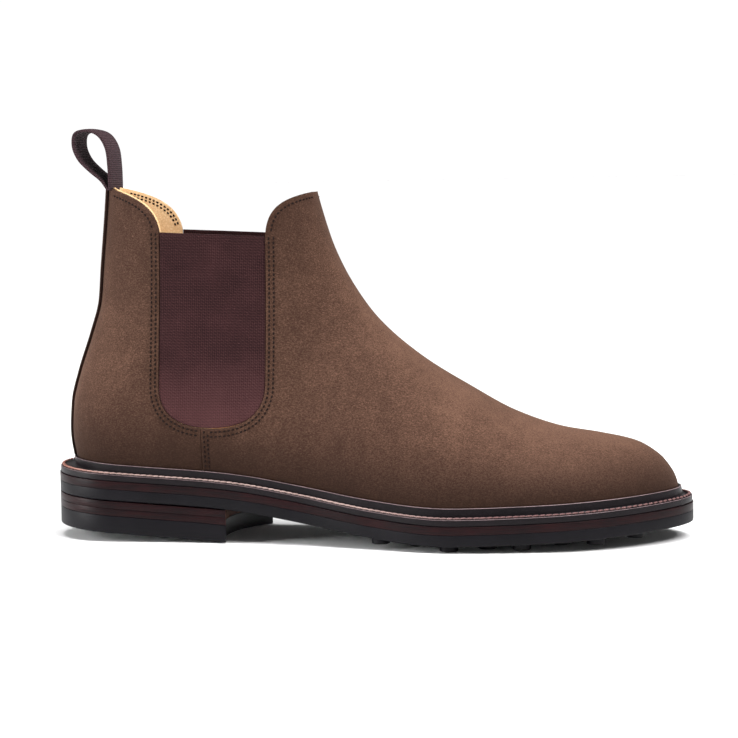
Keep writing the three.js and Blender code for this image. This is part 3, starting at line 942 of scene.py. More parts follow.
def suede_finish(name, light, dark, nap=1.0):
    """Brushed suede: mottled nap that leans in patches, and fine fibres, with painted light on up-facing
    suede, painted shade high on the shaft and painted shade near the welt.
    """
    f = Finish(name)
    where = f.place()
    patches = f.noise(26, f.place((1, 1, 0.6)), 4)
    clouds = f.noise(5.5, where, 4)
    fibres = f.noise(0.55, f.place((0.6, 1, 1)), 3, 0.7)
    grit = f.noise(0.35, where, 2, 0.8)
    low = f.mark("low")
    crest = f.mark("crest")
    # This share adds painted light on up-facing suede, less painted shade high on the shaft, to the nap's
    # patches and clouds.
    brushed = (patches - 0.5) * 0.45 + (clouds - 0.5) * 0.3 + crest * 0.4
    strands = (fibres - 0.5) * 1.5 + (grit - 0.5) * 1.0
    share = brushed + strands * nap + 0.2
    base = f.mix(share.above(0, 1), dark, light)
    # Painted shade near the welt, in a darker copy of the suede's dark tone.
    painted_low_shade = tuple(c * 0.4 for c in dark[:3])
    base = f.mix(low * (0.5 + clouds * 0.5), base, colour(painted_low_shade))
    relief = fibres * 0.6 + grit * 0.4 + clouds * 0.8
    return f.surface(
        Base_Color=base,
        Roughness=0.93 - clouds * 0.08,
        Specular_IOR_Level=0.08,
        Sheen_Weight=0.1,
        Sheen_Roughness=0.45,
        Sheen_Tint=colour((0.8, 0.5, 0.38)),
        Normal=f.bump(relief, 0.22 * nap),
    )


def leather_finish(name, light, dark, rough=0.55, grain_size=1.1, relief=0.06, edge_highlight=None):
    """Smooth leather with fine pores. Its last argument is the colour of a painted highlight along the edges
    that the mesh marks.
    """
    f = Finish(name)
    where = f.place()
    clouds = f.noise(14, where, 4)
    pores = f.cells(grain_size, where, "DISTANCE_TO_EDGE").above(0, 0.25)
    fine = f.noise(0.4, where, 3)
    share = clouds * 0.7 + pores * 0.2 + fine * 0.25
    base = f.mix(share.above(0.3, 0.9), dark, light)
    if edge_highlight:
        # Painted highlight along the marked edges, broken up by noise.
        rubbed = f.mark("edge") * (0.55 + f.noise(3, where, 3) * 0.6)
        base = f.mix(rubbed.above(0.2, 1), base, edge_highlight)
    return f.surface(
        Base_Color=base,
        Roughness=rough + (clouds - 0.5) * 0.2 - pores * 0.04,
        Specular_IOR_Level=0.15,
        Normal=f.bump(pores * 0.5 + fine * 0.5 + clouds, relief),
    )


def stacked_finish(name, light, dark, layer=1.55):
    """Edge of stacked and dyed sole leather: thin layers and burnished streaks."""
    f = Finish(name)
    where = f.place()
    streaks = f.noise(1.0, f.place((0.08, 0.08, 1.6)), 4, 0.6)
    clouds = f.noise(16, where, 3)
    height = f.axis(where, "Z") + f.axis(where, "X") * HEEL_PITCH
    lines = height.wave(layer) ** 24
    base = f.mix((streaks * 0.6 + clouds * 0.5).above(0.35, 0.85), dark, light)
    base = f.mix(lines * 0.35, base, light)
    return f.surface(
        Base_Color=base,
        Roughness=0.3 + streaks * 0.2,
        Specular_IOR_Level=0.12,
        Normal=f.bump(streaks - lines * 0.5, 0.05),
    )


def rubber_finish(name, light, dark):
    """Moulded rubber: matt, with dust in its pores and faint mould flow."""
    f = Finish(name)
    where = f.place()
    clouds = f.noise(18, where, 4)
    pits = f.noise(0.35, where, 3, 0.7)
    dust = f.noise(1.6, where, 5, 0.7).above(0.6, 0.85)
    base = f.mix((clouds * 0.6 + pits * 0.4).above(0.3, 0.8), dark, light)
    base = f.mix(dust * 0.12, base, colour((0.05, 0.046, 0.048)))
    return f.surface(
        Base_Color=base,
        Roughness=0.42 + (clouds - 0.5) * 0.2 + pits * 0.06,
        Specular_IOR_Level=0.12,
        Normal=f.bump(pits + clouds, 0.05),
    )


def elastic_finish(name, light, dark):
    """Ribbed elastic web: vertical rubber cords under fine crosswise threads."""
    f = Finish(name)
    web = f.node("ShaderNodeUVMap", {"uv_map": "Weave"})
    drift = (f.noise(7, web, 2) - 0.5) * 0.5
    x = f.axis(web, "X") + drift
    z = f.axis(web, "Y") + drift
    ribs = x.wave(0.95)
    picks = z.wave(0.72)
    offset = (x * (math.pi / 0.95) + z * (math.pi / 0.72)).sine()
    threads = picks * 0.55 + ribs * 0.25 + offset * 0.2
    fuzz = f.noise(0.5, web, 3, 0.7)
    clouds = f.noise(16, web, 3)
    glints = f.noise(0.9, web, 2, 0.6).above(0.6, 0.72) * picks
    # The web grows lighter downwards, from 96 mm high to the gore's bottom.
    stretched = f.axis(web, "Y").above(GORE_LIGHTENING_TOP, GORE_BOTTOM)
    share = threads * 0.55 + fuzz * 0.6 + (clouds - 0.5) * 0.25 + glints * 0.35 + stretched * 0.25
    base = f.mix(share.above(0.3, 1.15), dark, light)
    return f.surface(
        Base_Color=base,
        Roughness=0.85 - glints * 0.2,
        Specular_IOR_Level=0.07,
        Sheen_Weight=0.02,
        Sheen_Roughness=0.4,
        Normal=f.bump(threads + fuzz * 0.4, 0.16),
    )


def ribbon_finish(name, light, dark):
    """Grosgrain ribbon: ribs across its width between two selvedges."""
    f = Finish(name)
    web = f.node("ShaderNodeUVMap", {"uv_map": "Weave"})
    across = f.axis(web, "X")
    along = f.axis(web, "Y")
    ribs = along.wave(0.95)
    warp = across.wave(0.5)
    fuzz = f.noise(0.6, web, 3, 0.7)
    share = ribs * 0.5 + warp * 0.15 + fuzz * 0.45
    base = f.mix(share.above(0.1, 1.0), dark, light)
    return f.surface(
        Base_Color=base,
        Roughness=0.7 + fuzz * 0.15,
        Specular_IOR_Level=0.12,
        Sheen_Weight=0.05,
        Sheen_Roughness=0.35,
        Sheen_Tint=colour((0.9, 0.7, 0.76)),
        Normal=f.bump(ribs + warp * 0.3 + fuzz * 0.3, 0.18),
    )


def fibre_finish(name, light, dark, size=1.2, relief=0.15, rough=0.9):
    """Fibrous or granular filling: cork, board, foam and canvas."""
    f = Finish(name)
    where = f.place()
    crumbs = f.cells(size, where)
    fine = f.noise(size * 0.4, where, 4, 0.7)
    clouds = f.noise(size * 9, where, 3)
    base = f.mix((crumbs * 0.5 + fine * 0.5 + (clouds - 0.5) * 0.5).above(0.15, 0.9), dark, light)
    return f.surface(
        Base_Color=base,
        Roughness=rough - fine * 0.1,
        Specular_IOR_Level=0.2,
        Normal=f.bump(crumbs * 0.5 + fine * 0.5, relief),
    )


def steel_finish(name):
    """Brushed spring steel with faint stains."""
    f = Finish(name)
    brush = f.noise(1.0, f.place((0.05, 2.5, 2.5)), 3)
    stains = f.noise(9, f.place(), 4)
    base = f.mix(stains.above(0.4, 0.8), colour((0.52, 0.53, 0.54)), colour((0.36, 0.34, 0.32)))
    return f.surface(
        Base_Color=base,
        Metallic=1.0,
        Roughness=0.28 + brush * 0.25 + stains * 0.1,
        Normal=f.bump(brush, 0.02),
    )


def thread_finish(name, light, dark, rear=None, front=None):
    """Twisted waxed thread. rear and front are its colours where dye has stained it."""
    f = Finish(name)
    where = f.place()
    twist = (f.axis(where, "X") + f.axis(where, "Y") + f.axis(where, "Z") * 1.5).wave(0.9)
    fuzz = f.noise(0.6, where, 3, 0.7)
    clouds = f.noise(6, where, 3)
    for stain, clean, stained in ((rear, -80, -150), (front, 0, 90)):
        if stain:
            share = (f.axis(where, "X") + f.noise(12, where, 2) * 30).above(clean, stained)
            light = f.mix(share, light, stain)
    base = f.mix((twist * 0.5 + fuzz * 0.4 + clouds * 0.3).above(0.2, 0.95), dark, light)
    return f.surface(
        Base_Color=base,
        Roughness=0.62 + fuzz * 0.2,
        Specular_IOR_Level=0.1,
        Normal=f.bump(twist + fuzz * 0.4, 0.12),
    )


# Settings

def shade(label, about, value):
    return FloatVectorProperty(
        name=label, description=about, subtype="COLOR", size=4, min=0, max=1, default=(*value, 1),
    )


def length(label, about, value):
    return FloatProperty(name=label, description=about, default=value * MM, min=0, unit="LENGTH", precision=5)


def angle(label, about, value):
    return FloatProperty(name=label, description=about, unit="ROTATION", default=math.radians(value))


class BootColours(bpy.types.PropertyGroup):
    # Suede tones. The mix between them also carries painted light on up-facing suede and painted shade high
    # on the shaft.
    suede_light: shade("Suede, brushed up", "Suede where the nap stands", (0.140, 0.074, 0.049))
    suede_dark: shade("Suede, brushed down", "Suede where the nap lies flat", (0.034, 0.0165, 0.011))
    suede_edge: shade("Suede edge", "Cut edge of the suede", (0.11, 0.068, 0.046))
    strip: shade("Back strip", "Suede of the back strip", (0.02, 0.010, 0.008))
    elastic_light: shade("Elastic thread", "Raised threads of the gores", (0.076, 0.030, 0.031))
    elastic_dark: shade("Elastic ground", "Ground of the gores", (0.006, 0.002, 0.0025))
    lining_light: shade("Lining", "Natural lining leather", (0.86, 0.60, 0.34))
    lining_dark: shade("Lining shade", "Darker patches of the lining", (0.66, 0.40, 0.19))
    ribbon_light: shade("Ribbon rib", "Raised ribs of the pull loop", (0.058, 0.030, 0.036))
    ribbon_dark: shade("Ribbon ground", "Ground of the pull loop", (0.007, 0.003, 0.004))
    welt_light: shade("Welt leather", "Dyed welt leather", (0.007, 0.0042, 0.006))
    welt_dark: shade("Welt leather shade", "Darker patches of the welt", (0.0025, 0.0012, 0.002))
    # Colour of the painted highlight on the welt's outer top edge and the lip's top edge.
    welt_worn: shade("Rubbed welt edge", "Where the dye has rubbed thin", (0.34, 0.24, 0.25))
    leather_light: shade("Sole leather", "Dyed edge of the leather layers", (0.015, 0.0018, 0.0024))
    leather_dark: shade("Sole leather shade", "Darker streaks of the leather layers", (0.003, 0.0008, 0.0015))
    breast_light: shade("Undyed sole leather", "Breast of the heel's leather lifts", (0.20, 0.075, 0.035))
    rubber_light: shade("Rubber", "Rubber sole and heel", (0.0050, 0.0040, 0.0062))
    rubber_dark: shade("Rubber shade", "Darker patches of the rubber", (0.002, 0.0016, 0.0026))
    thread_light: shade("Welt thread", "Waxed thread of the welt", (0.62, 0.46, 0.42))
    thread_dark: shade("Welt thread shade", "Grooves of the welt thread", (0.10, 0.05, 0.045))
    thread_rear: shade("Stained welt thread", "Welt thread stained by dye", (0.42, 0.17, 0.12))
    thread_front: shade("Dyed welt thread", "Welt thread darkened by dye round the toe", (0.20, 0.11, 0.11))
    seam_light: shade("Seam thread", "Thread of the upper's seams", (0.016, 0.007, 0.005))
    seam_dark: shade("Seam thread shade", "Grooves of the upper's thread", (0.003, 0.0015, 0.0012))


class BootSizes(bpy.types.PropertyGroup):
    stitch_pitch: length("Seam stitch", "From one seam stitch to the next", 2.1)
    stitch_width: length("Seam thread", "Width of a seam stitch", 0.85)
    welt_pitch: length("Welt stitch", "From one welt stitch to the next", 3.0)
    welt_thread: length("Welt thread", "Width of a welt stitch", 1.35)
    welt_inset: length("Welt stitch inset", "From the welt's edge to its stitches", 1.9)
    stud_radius: length("Stud radius", "Radius of the sole's studs", 4.2)
    stud_pitch: length("Stud pitch", "Between rows of studs along the sole", 16.5)
    loop_width: length("Pull loop width", "Width of the pull loop's ribbon", 20)
    loop_thickness: length("Pull loop thickness", "Thickness of the pull loop's ribbon", 1.2)
    rim_radius: length("Rim radius", "Rounding of cut edges", 0.35)


class BootStage(bpy.types.PropertyGroup):
    azimuth: angle("Azimuth", "Camera turned towards the toe", 11)
    elevation: angle("Elevation", "Camera above the boot", 5.1)
    roll: angle("Roll", "Camera turned about its view", -1.0)
    distance: FloatProperty(name="Distance", description="Camera from the boot", unit="LENGTH", default=1.15)
    lens: FloatProperty(name="Lens", description="Focal length in millimetres", default=117.8, min=1)


def sizes(name):
    """One of the scene's boot sizes, in millimetres."""
    return getattr(bpy.context.scene.boot_sizes, name) / MM


def paint(name):
    return tuple(getattr(bpy.context.scene.boot_colours, name))


# Each material's maker, and what it is given after its name: words are colours of the settings.
FINISHES = {
    "suede": (suede_finish, "suede_light", "suede_dark"),
    "suede_edge": (suede_finish, "suede_edge", "suede_dark", 0.5),
    "suede_dark": (suede_finish, "suede_dark", "strip", 0.8),
    "elastic": (elastic_finish, "elastic_light", "elastic_dark"),
    "elastic_edge": (thread_finish, "elastic_light", "elastic_dark"),
    "lining": (leather_finish, "lining_light", "lining_dark", 0.6, 1.4, 0.08),
    "ribbon": (ribbon_finish, "ribbon_light", "ribbon_dark"),
    "welt": (leather_finish, "welt_light", "welt_dark", 0.42, 1.2, 0.05, "welt_worn"),
    "stacked": (stacked_finish, "leather_light", "leather_dark"),
    "lift": (stacked_finish, "leather_light", "leather_dark", LIFT / 2),
    "breast": (leather_finish, "breast_light", "leather_light", 0.7, 0.8, 0.1),
    "rubber": (rubber_finish, "rubber_light", "rubber_dark"),
    "welt_thread": (thread_finish, "thread_light", "thread_dark", "thread_rear", "thread_front"),
    "seam_thread": (thread_finish, "seam_light", "seam_dark"),
    "board": (fibre_finish, colour((0.42, 0.28, 0.15)), colour((0.25, 0.15, 0.08)), 0.8, 0.08),
    "canvas": (fibre_finish, colour((0.62, 0.55, 0.42)), colour((0.40, 0.34, 0.25)), 0.7, 0.15),
    "foam": (fibre_finish, colour((0.72, 0.60, 0.40)), colour((0.5, 0.38, 0.22)), 0.5, 0.1),
    "cork": (fibre_finish, colour((0.50, 0.30, 0.14)), colour((0.16, 0.08, 0.04)), 2.2, 0.25),
    "steel": (steel_finish,),
}
MATERIALS = {}


def material(name):
    """One of the finishes, made when it is first asked for."""
    if name not in MATERIALS:
        maker, *given = FINISHES[name]
        given = [paint(value) if isinstance(value, str) else value for value in given]
        MATERIALS[name] = maker(name, *given)
    return MATERIALS[name]


def dress(obj, slot, *names):
    """Gives a piece its materials. Its slot is not used."""
    obj.data.materials.clear()
    for name in names:
        obj.data.materials.append(material(name))


# How pieces are placed

def with_boot(obj):
    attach(obj, "boot")


def with_quarter(obj):
    """Bakes the piece's placement into its mesh."""
    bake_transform(obj)


def with_gore(obj):
    """Bakes the piece's placement into its mesh."""
    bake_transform(obj)


def with_loop(obj):
    """Bakes the piece's placement into its mesh."""
    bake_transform(obj)


def stand_for(node, obj, moves, slot, *names):
    """Dresses a piece, makes it stand for a node of the frame, and places it with moves."""
    dress(obj, slot, *names)
    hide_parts(node)
    moves(obj)


# Pieces

def upper_piece(name, grids, depth, thickness):
    both = grids + [mirrored(grid) for grid in grids]
    return skin(name, both, depth, thickness, sizes("rim_radius"))


def stiffener_zone(x, height):
    """1 where the toe puff or the heel counter lies under the suede, 0 elsewhere."""
    toe = smooth_step((x - PUFF_BACK + ZONE_MARGIN) / ZONE_RAMP)
    heel = smooth_step((COUNTER_FRONT + ZONE_MARGIN - x) / ZONE_RAMP)
    heel = heel * smooth_step((COUNTER_TOP + ZONE_MARGIN - height) / ZONE_RAMP)
    return np.maximum(toe, heel)


def lining_depth(x, height):
    return SUEDE + CLEARANCE + stiffener_zone(x, height) * (STIFFENER + CLEARANCE)



def back_band(name, width, near, bottom, top, thickness):
    """A strip down the middle of the back, at a depth under the upper's outside."""
    rows = 70
    columns = 10
    heights = np.linspace(bottom, top, rows + 1)
    across = np.linspace(-width / 2, width / 2, columns + 1)
    height, y = np.meshgrid(heights, across, indexing="ij")
    low, high = np.zeros_like(y), np.full_like(y, 0.4)
    _, high = between(lambda t: np.abs(upper_point(t - 1, height)[..., 1]) < np.abs(y), low, high, 30)
    grid = np.stack([np.where(y < 0, -1 + high, 1 - high), height], -1)[:, ::-1]
    return skin(name, [grid], near, thickness, 0.25)


def ribbon_path(count):
    """The pull loop in side view, from its front leg over the top to its rear leg."""
    knots = np.array([
        (3.2, -1.2), (3.0, 10), (1.9, 19), (-2.0, 25.4), (-8.4, 27.8), (-14.2, 26.2),
        (-15.2, 20), (-12.6, 13.6), (-7.4, 8.2), (-1.6, 3.4), (1.6, -1.2),
    ])
    ends = [2 * knots[0] - knots[1], *knots, 2 * knots[-1] - knots[-2]]
    ends = np.array(ends)
    t = np.linspace(0, len(knots) - 1 - 1e-9, count)
    k = t.astype(int)
    s = (t - k)[:, None]
    a, b, c, d = (ends[k + step] for step in range(4))
    square = 2 * a - 5 * b + 4 * c - d
    cube = 3 * b - a - 3 * c + d
    return 0.5 * (2 * b + (c - a) * s + square * s ** 2 + cube * s ** 3)


def make_pull_loop():
    rows = 96
    columns = 14
    path = ribbon_path(rows)
    tangent = np.gradient(path, axis=0)
    tangent = tangent / np.linalg.norm(tangent, axis=1, keepdims=True)
    outside = np.stack([tangent[:, 1], -tangent[:, 0]], -1)
    path = path + outside * sizes("loop_thickness") / 2
    width = sizes("loop_width")
    across = np.linspace(-width / 2, width / 2, columns)
    cup = LOOP_CUP * (2 * across / width) ** 2
    twist = math.radians(LOOP_TWIST)
    points = np.zeros((rows, columns, 3))
    x = path[:, :1] - outside[:, :1] * cup
    points[..., 0] = x * math.cos(twist) - across * math.sin(twist) + BACK_PEAK[0] - LOOP_SETBACK
    points[..., 1] = x * math.sin(twist) + across * math.cos(twist)
    points[..., 2] = path[:, 1:] - outside[:, 1:] * cup + BACK_PEAK[1]
    obj = new_piece("pull_loop_ribbon", points.reshape(-1, 3), grid_faces(rows, columns))
    steps = np.linalg.norm(np.diff(path, axis=0), axis=1)
    run = np.concatenate([[0], np.cumsum(steps)])
    weave_map(obj, np.stack([np.tile(across, rows), np.repeat(run, columns)], -1))
    thicken(obj, sizes("loop_thickness"), 0.3)
    return obj


def seam_line(path, side, lift):
    """Centres, directions and normals of stitches along a side-view path on one wall."""
    places = on_wall(path)
    run = np.linalg.norm(np.diff(upper_point(places[:, 0], places[:, 1]), axis=0), axis=1).sum()
    count = max(int(run / sizes("stitch_pitch")), 2)
    stops = spread(places, count)
    stops[:, 0] *= -side
    centres = upper_at(stops, -lift)
    along = np.gradient(centres, axis=0)
    return centres, along, upper_normal(stops[:, 0], stops[:, 1])


def moved(path, distance):
    """A side-view path moved to its left by a distance."""
    along = np.gradient(path, axis=0)
    along = along / np.linalg.norm(along, axis=1, keepdims=True)
    return path + np.stack([-along[:, 1], along[:, 0]], -1) * distance


def seam_stitches(name, paths, lift):
    rows = [seam_line(path, side, lift) for path in paths for side in (-1, 1)]
    centres, along, outward = (np.concatenate(parts) for parts in zip(*rows))
    width = sizes("stitch_width")
    return stitches(name, centres, along, outward, (sizes("stitch_pitch") * 0.66, width, width * 0.8))


def quarter_seams():
    """Two rows round the gore's rear half, one under the topline."""
    edge = upright_line(GORE_REAR, GORE_REAR_TOP - 1, GORE_SHOULDER)
    arc = gore_bottom(0)
    arc = arc[arc[:, 0] < SEAM_X - 2]
    outline = np.concatenate([edge, arc[1:]])
    beside = [moved(outline, row) for row in QUARTER_ROWS]
    return [*beside, moved(quarter_top()[40:-30], TOPLINE_ROW)]


def vamp_seams():
    """Two rows round the gore's front half, one under the topline, and two beside the side seam."""
    edge = upright_line(GORE_FRONT, GORE_SHOULDER, GORE_FRONT_TOP - 1)
    arc = gore_bottom(0)
    arc = arc[arc[:, 0] > SEAM_X + 5]
    outline = np.concatenate([arc[:-1], edge])
    beside = [moved(outline, row) for row in VAMP_ROWS]
    low = float(feather(SEAM_X)) + LIP_HEIGHT
    seams = [upright_line(SEAM_X + row, low, GORE_BOTTOM - row) for row in SIDE_SEAM_ROWS]
    return [*beside, moved(vamp_top()[30:-4], TOPLINE_ROW), *seams]


HEEL_SIDE_STEPS = 48
BREAST_STEPS = 26
NAIL_CUT = 100
# Metres by which a slab's top is first lifted, so that its points can be told from the bottom's.
FAR_UP = 1


def heel_outline():
    """Plan of the heel: round the back, then the hollow breast."""
    t = np.linspace(0, math.pi / 2, HEEL_SIDE_STEPS + 1)
    points = []
    for side, front in ((-1, BREAST_OUTER), (1, BREAST_INNER)):
        x = front * (1 - np.cos(t))
        half = sole_half(x / SOLE_LENGTH) * heel_end(x)
        points.append(np.stack([x, sole_centre(x / SOLE_LENGTH) + side * half], -1))
    outer, inner = points
    middle = (BREAST_OUTER + BREAST_INNER) / 2
    hollow = np.array([middle - 2 * BREAST_HOLLOW, sole_centre(middle / SOLE_LENGTH)])
    s = np.linspace(0, 1, BREAST_STEPS)[1:-1, None]
    breast = inner[-1] * (1 - s) ** 2 + 2 * hollow * s * (1 - s) + outer[-1] * s * s
    return np.concatenate([outer[::-1], inner[1:], breast])


def heel_block(name, low, high, radius):
    """A slab of the heel between two slopes of x, extruded from its plan, with nail holes."""
    outline = heel_outline()
    base = np.column_stack([outline, low(outline[:, 0])])
    obj = new_piece(name, base, [tuple(range(len(base)))])
    activate(obj)
    bpy.ops.object.mode_set(mode="EDIT")
    bpy.ops.mesh.select_all(action="SELECT")
    bpy.ops.mesh.extrude_region_move(TRANSFORM_OT_translate={"value": (0, 0, FAR_UP)})
    bpy.ops.object.mode_set(mode="OBJECT")
    for vertex in obj.data.vertices:
        if vertex.co.z > FAR_UP / 2:
            vertex.co.z = float(high(vertex.co.x / MM - SHIFT_X)) * MM
    activate(obj)
    bpy.ops.object.mode_set(mode="EDIT")
    bpy.ops.mesh.select_all(action="SELECT")
    bpy.ops.mesh.normals_make_consistent(inside=False)
    bpy.ops.object.mode_set(mode="OBJECT")
    round_edges(obj, radius, segments=3)
    drill(obj)
    smooth(obj)
    return obj


def drill(obj):
    """Cuts the nail holes."""
    for x, y in NAIL_PLACES:
        bpy.ops.object.select_all(action="DESELECT")
        bpy.ops.mesh.primitive_cylinder_add(
            vertices=24, radius=NAIL_HOLE * MM, depth=NAIL_CUT * MM, location=place(x, y, 10))
        cutter = bpy.context.object
        hole = obj.modifiers.new("Hole", "BOOLEAN")
        hole.operation = "DIFFERENCE"
        hole.solver = "EXACT"
        hole.object = cutter
        apply_modifiers(obj)
        bpy.data.objects.remove(cutter)


def heel_ground(x):
    """Underside of the heel, flat on the ground once the boot stands."""
    return HEEL_PITCH * (BREAST_INNER - x)


def lift_face(count):
    """Top of the lift that lies under a number of others."""
    slope = (sole_base(0) - sole_base(BREAST_INNER)) / BREAST_INNER
    return lambda x: sole_base(0) - slope * x - CLEARANCE - count * (LIFT + CLEARANCE)


def make_lift(name, count):
    high = lift_face(count)
    return heel_block(name, lambda x: high(x) - LIFT, lambda x: high(x) + SOLE_FILL, 0.15)


def stud_places():
    """Centres of the studs: staggered rows over the forefoot."""
    places = []
    pitch = sizes("stud_pitch")
    for row in range(STUD_ROWS):
        x = BALL_X + (row - STUD_ROWS_BEHIND) * pitch
        reach = float(sole_half(x / SOLE_LENGTH) * toe_end(x)) - STUD_MARGIN
        count = max(round(reach / pitch), 1)
        columns = range(-count, count + 1)
        if row % 2:
            columns = [k + 0.5 for k in range(-count, count)]
        for column in columns:
            places.append((x, float(sole_centre(x / SOLE_LENGTH)) + column / count * reach))
    return places


def stud_shape():
    """One stud standing on its head: a round block with a soft rim and a dished end."""
    radius = sizes("stud_radius") * MM
    depth = (STUD_HEIGHT + STUD_ROOT) * MM
    bpy.ops.object.select_all(action="DESELECT")
    bpy.ops.mesh.primitive_cylinder_add(vertices=28, radius=radius, depth=depth)
    stud = bpy.context.object
    bpy.ops.object.mode_set(mode="EDIT")
    bpy.ops.mesh.select_mode(type="FACE")
    bpy.ops.mesh.select_all(action="DESELECT")
    bpy.ops.object.mode_set(mode="OBJECT")
    for face in stud.data.polygons:
        face.select = face.normal.z < -0.9
    bpy.ops.object.mode_set(mode="EDIT")
    bpy.ops.mesh.inset(thickness=radius * 0.16)
    bpy.ops.mesh.inset(thickness=radius * 0.3)
    bpy.ops.transform.translate(value=(0, 0, STUD_DISH * MM))
    bpy.ops.mesh.inset(thickness=radius * 0.2)
    bpy.ops.object.mode_set(mode="OBJECT")
    points = vertex_points(stud) / MM
    rim = np.hypot(points[:, 0], points[:, 1]) > 0.95 * radius / MM
    low = points[:, 2] < 0
    points[rim & low, 2] += STUD_DISH
    faces = [tuple(p.vertices) for p in stud.data.polygons]
    bpy.data.objects.remove(stud)
    points[:, 2] += depth / MM / 2
    return points, faces


def make_outsole():
    obj = plate("outsole_rubber", SOLE_LOOP, 0, OUTSOLE + SOLE_FILL, (0.9, 0.15))
    points, faces = stud_shape()
    every, all_faces = [], []
    for k, (x, y) in enumerate(stud_places()):
        low = float(sole_base(x)) - STUD_HEIGHT
        every.append(points + np.array([x, y, low]))
        all_faces += [tuple(v + k * len(points) for v in face) for face in faces]
    studs = new_piece("studs", np.concatenate(every), all_faces)
    smooth(studs, 35)
    activate(obj)
    studs.select_set(True)
    bpy.ops.object.join()
    return obj


def make_storm_welt():
    top = FEATHER_HEIGHT + LIP_HEIGHT
    edge = inset(SOLE_LOOP, WELT_EDGE_INSET)
    lip_root = inset(FEATHER_LOOP, -LIP_FOOT)
    corners = [
        raised(inset(FEATHER_LOOP, WELT_REACH), WELT_BOTTOM),
        raised(edge, WELT_BOTTOM),
        raised(edge, WELT_TOP),
        raised(lip_root, WELT_TOP),
        raised(inset(LIP_LOOP, -CLEARANCE - LIP_THICKNESS), top),
        raised(inset(LIP_LOOP, -CLEARANCE), top),
        raised(inset(FEATHER_LOOP, -CLEARANCE), WELT_TOP),
        raised(inset(FEATHER_LOOP, WELT_REACH), WELT_TOP),
    ]
    loops, places = rounded(corners, [0, 0.5, 0.6, 0.9, 0.5, 0.3, 0, 0], 6)
    # Painted highlight on the welt's outer top edge (corner 2) and the lip's top edge (corner 4), strongest
    # mid-corner.
    edge_highlight = {2: 0.8, 4: 1.0}
    marks = [edge_highlight.get(number, 0) * near ** 1.5 for number, near in places]
    return band("storm_welt_leather", loops, marks)


def make_welt_stitches():
    line = raised(inset(SOLE_LOOP, sizes("welt_inset")), WELT_TOP + 0.5)
    closed = np.concatenate([line, line[:1]])
    run = np.concatenate([[0], np.cumsum(np.linalg.norm(np.diff(closed, axis=0), axis=1))])
    count = round(run[-1] / sizes("welt_pitch"))
    stops = np.arange(count) / count * run[-1]
    centres = np.stack([np.interp(stops, run, closed[:, k]) for k in range(3)], -1)
    along = np.roll(centres, -1, axis=0) - np.roll(centres, 1, axis=0)
    outward = np.tile([0.0, 0.0, 1.0], (count, 1))
    width = sizes("welt_thread")
    size = (sizes("welt_pitch") * 1.06, width, width * 0.7)
    return stitches("welt_thread", centres, along, outward, size, math.radians(16))


INNER = {
    "toe_puff": "board",
    "heel_counter": "board",
    "insole": "board",
    "insole_rib": "canvas",
    "sock_liner": "lining",
    "heel_pad": "foam",
    "cork_filler": "cork",
    "shank": "steel",
    **{f"heel_nail_{k + 1}": "steel" for k in range(len(NAIL_PLACES))},
}


# Operators

class BootOperator(bpy.types.Operator):
    bl_options = {"REGISTER", "UNDO"}


class BOOT_OT_stage(BootOperator):
    """Adds the floor, the studio light and the camera"""
    bl_idname = "boot.stage"
    bl_label = "Stage"

    def execute(self, context):
        scene = context.scene
        add_floor()
        add_lights(scene)
        add_camera(scene)
        return {"FINISHED"}


class BOOT_OT_vamp(BootOperator):
    """Makes the vamp: the suede from the side seams to the toe"""
    bl_idname = "boot.vamp"
    bl_label = "Vamp"

    def execute(self, context):
        obj = upper_piece("vamp_suede", vamp_grids(), 0, SUEDE)
        stand_for("vamp", obj, with_boot, "suede", "suede", "suede_edge")
        return {"FINISHED"}


class BOOT_OT_quarter(BootOperator):
    """Makes the back quarter: the suede round the heel and up the back of the shaft"""
    bl_idname = "boot.quarter"
    bl_label = "Back quarter"

    def execute(self, context):
        obj = upper_piece("back_quarter_suede", quarter_grids(), 0, SUEDE)
        stand_for("back_quarter", obj, with_quarter, "suede", "suede", "suede_edge")
        return {"FINISHED"}


class BOOT_OT_gores(BootOperator):
    """Makes the two elastic gores"""
    bl_idname = "boot.gores"
    bl_label = "Gores"

    def execute(self, context):
        grid = gore_grid()
        for node, places in (("gore_lateral", grid), ("gore_medial", mirrored(grid))):
            obj = skin(node + "_web", [places], GORE_DEPTH, GORE, 0.4)
            weave_map(obj, vertex_points(obj)[:, [0, 2]] / MM)
            stand_for(node, obj, with_gore, "elastic", "elastic", "elastic_edge")
        return {"FINISHED"}


class BOOT_OT_linings(BootOperator):
    """Makes the leather linings of the vamp and the quarter"""
    bl_idname = "boot.linings"
    bl_label = "Linings"

    def execute(self, context):
        for node, grids, moves in (
            ("vamp_lining", vamp_grids(INSOLE_BED, -LINING_RISE), with_boot),
            ("quarter_lining", quarter_grids(INSOLE_BED, LINING_RISE), with_quarter),
        ):
            obj = upper_piece(node + "_leather", grids, lining_depth, LINING)
            stand_for(node, obj, moves, "lining_leather", "lining", "lining")
        return {"FINISHED"}


class BOOT_OT_back_bands(BootOperator):
    """Makes the suede strip over the back seam and the leather tape inside it"""
    bl_idname = "boot.back_bands"
    bl_label = "Back strip and tape"

    def execute(self, context):
        top = back_top(BACK_PEAK[1])
        strip = back_band(
            "back_strip_suede", STRIP_WIDTH, -CLEARANCE - STRIP, LIP_HEIGHT + CLEARANCE, top, STRIP)
        stand_for("back_strip", strip, with_quarter, "suede_dark", "suede_dark", "suede_edge")
        inside = SUEDE + LINING + 2 * CLEARANCE
        bottom = TAPE_BOTTOM - float(feather(0))
        tape = back_band("back_seam_tape_leather", TAPE_WIDTH, inside, bottom, top - TAPE_DROP, TAPE)
        stand_for("back_seam_tape", tape, with_quarter, "lining_leather", "lining", "lining")
        return {"FINISHED"}


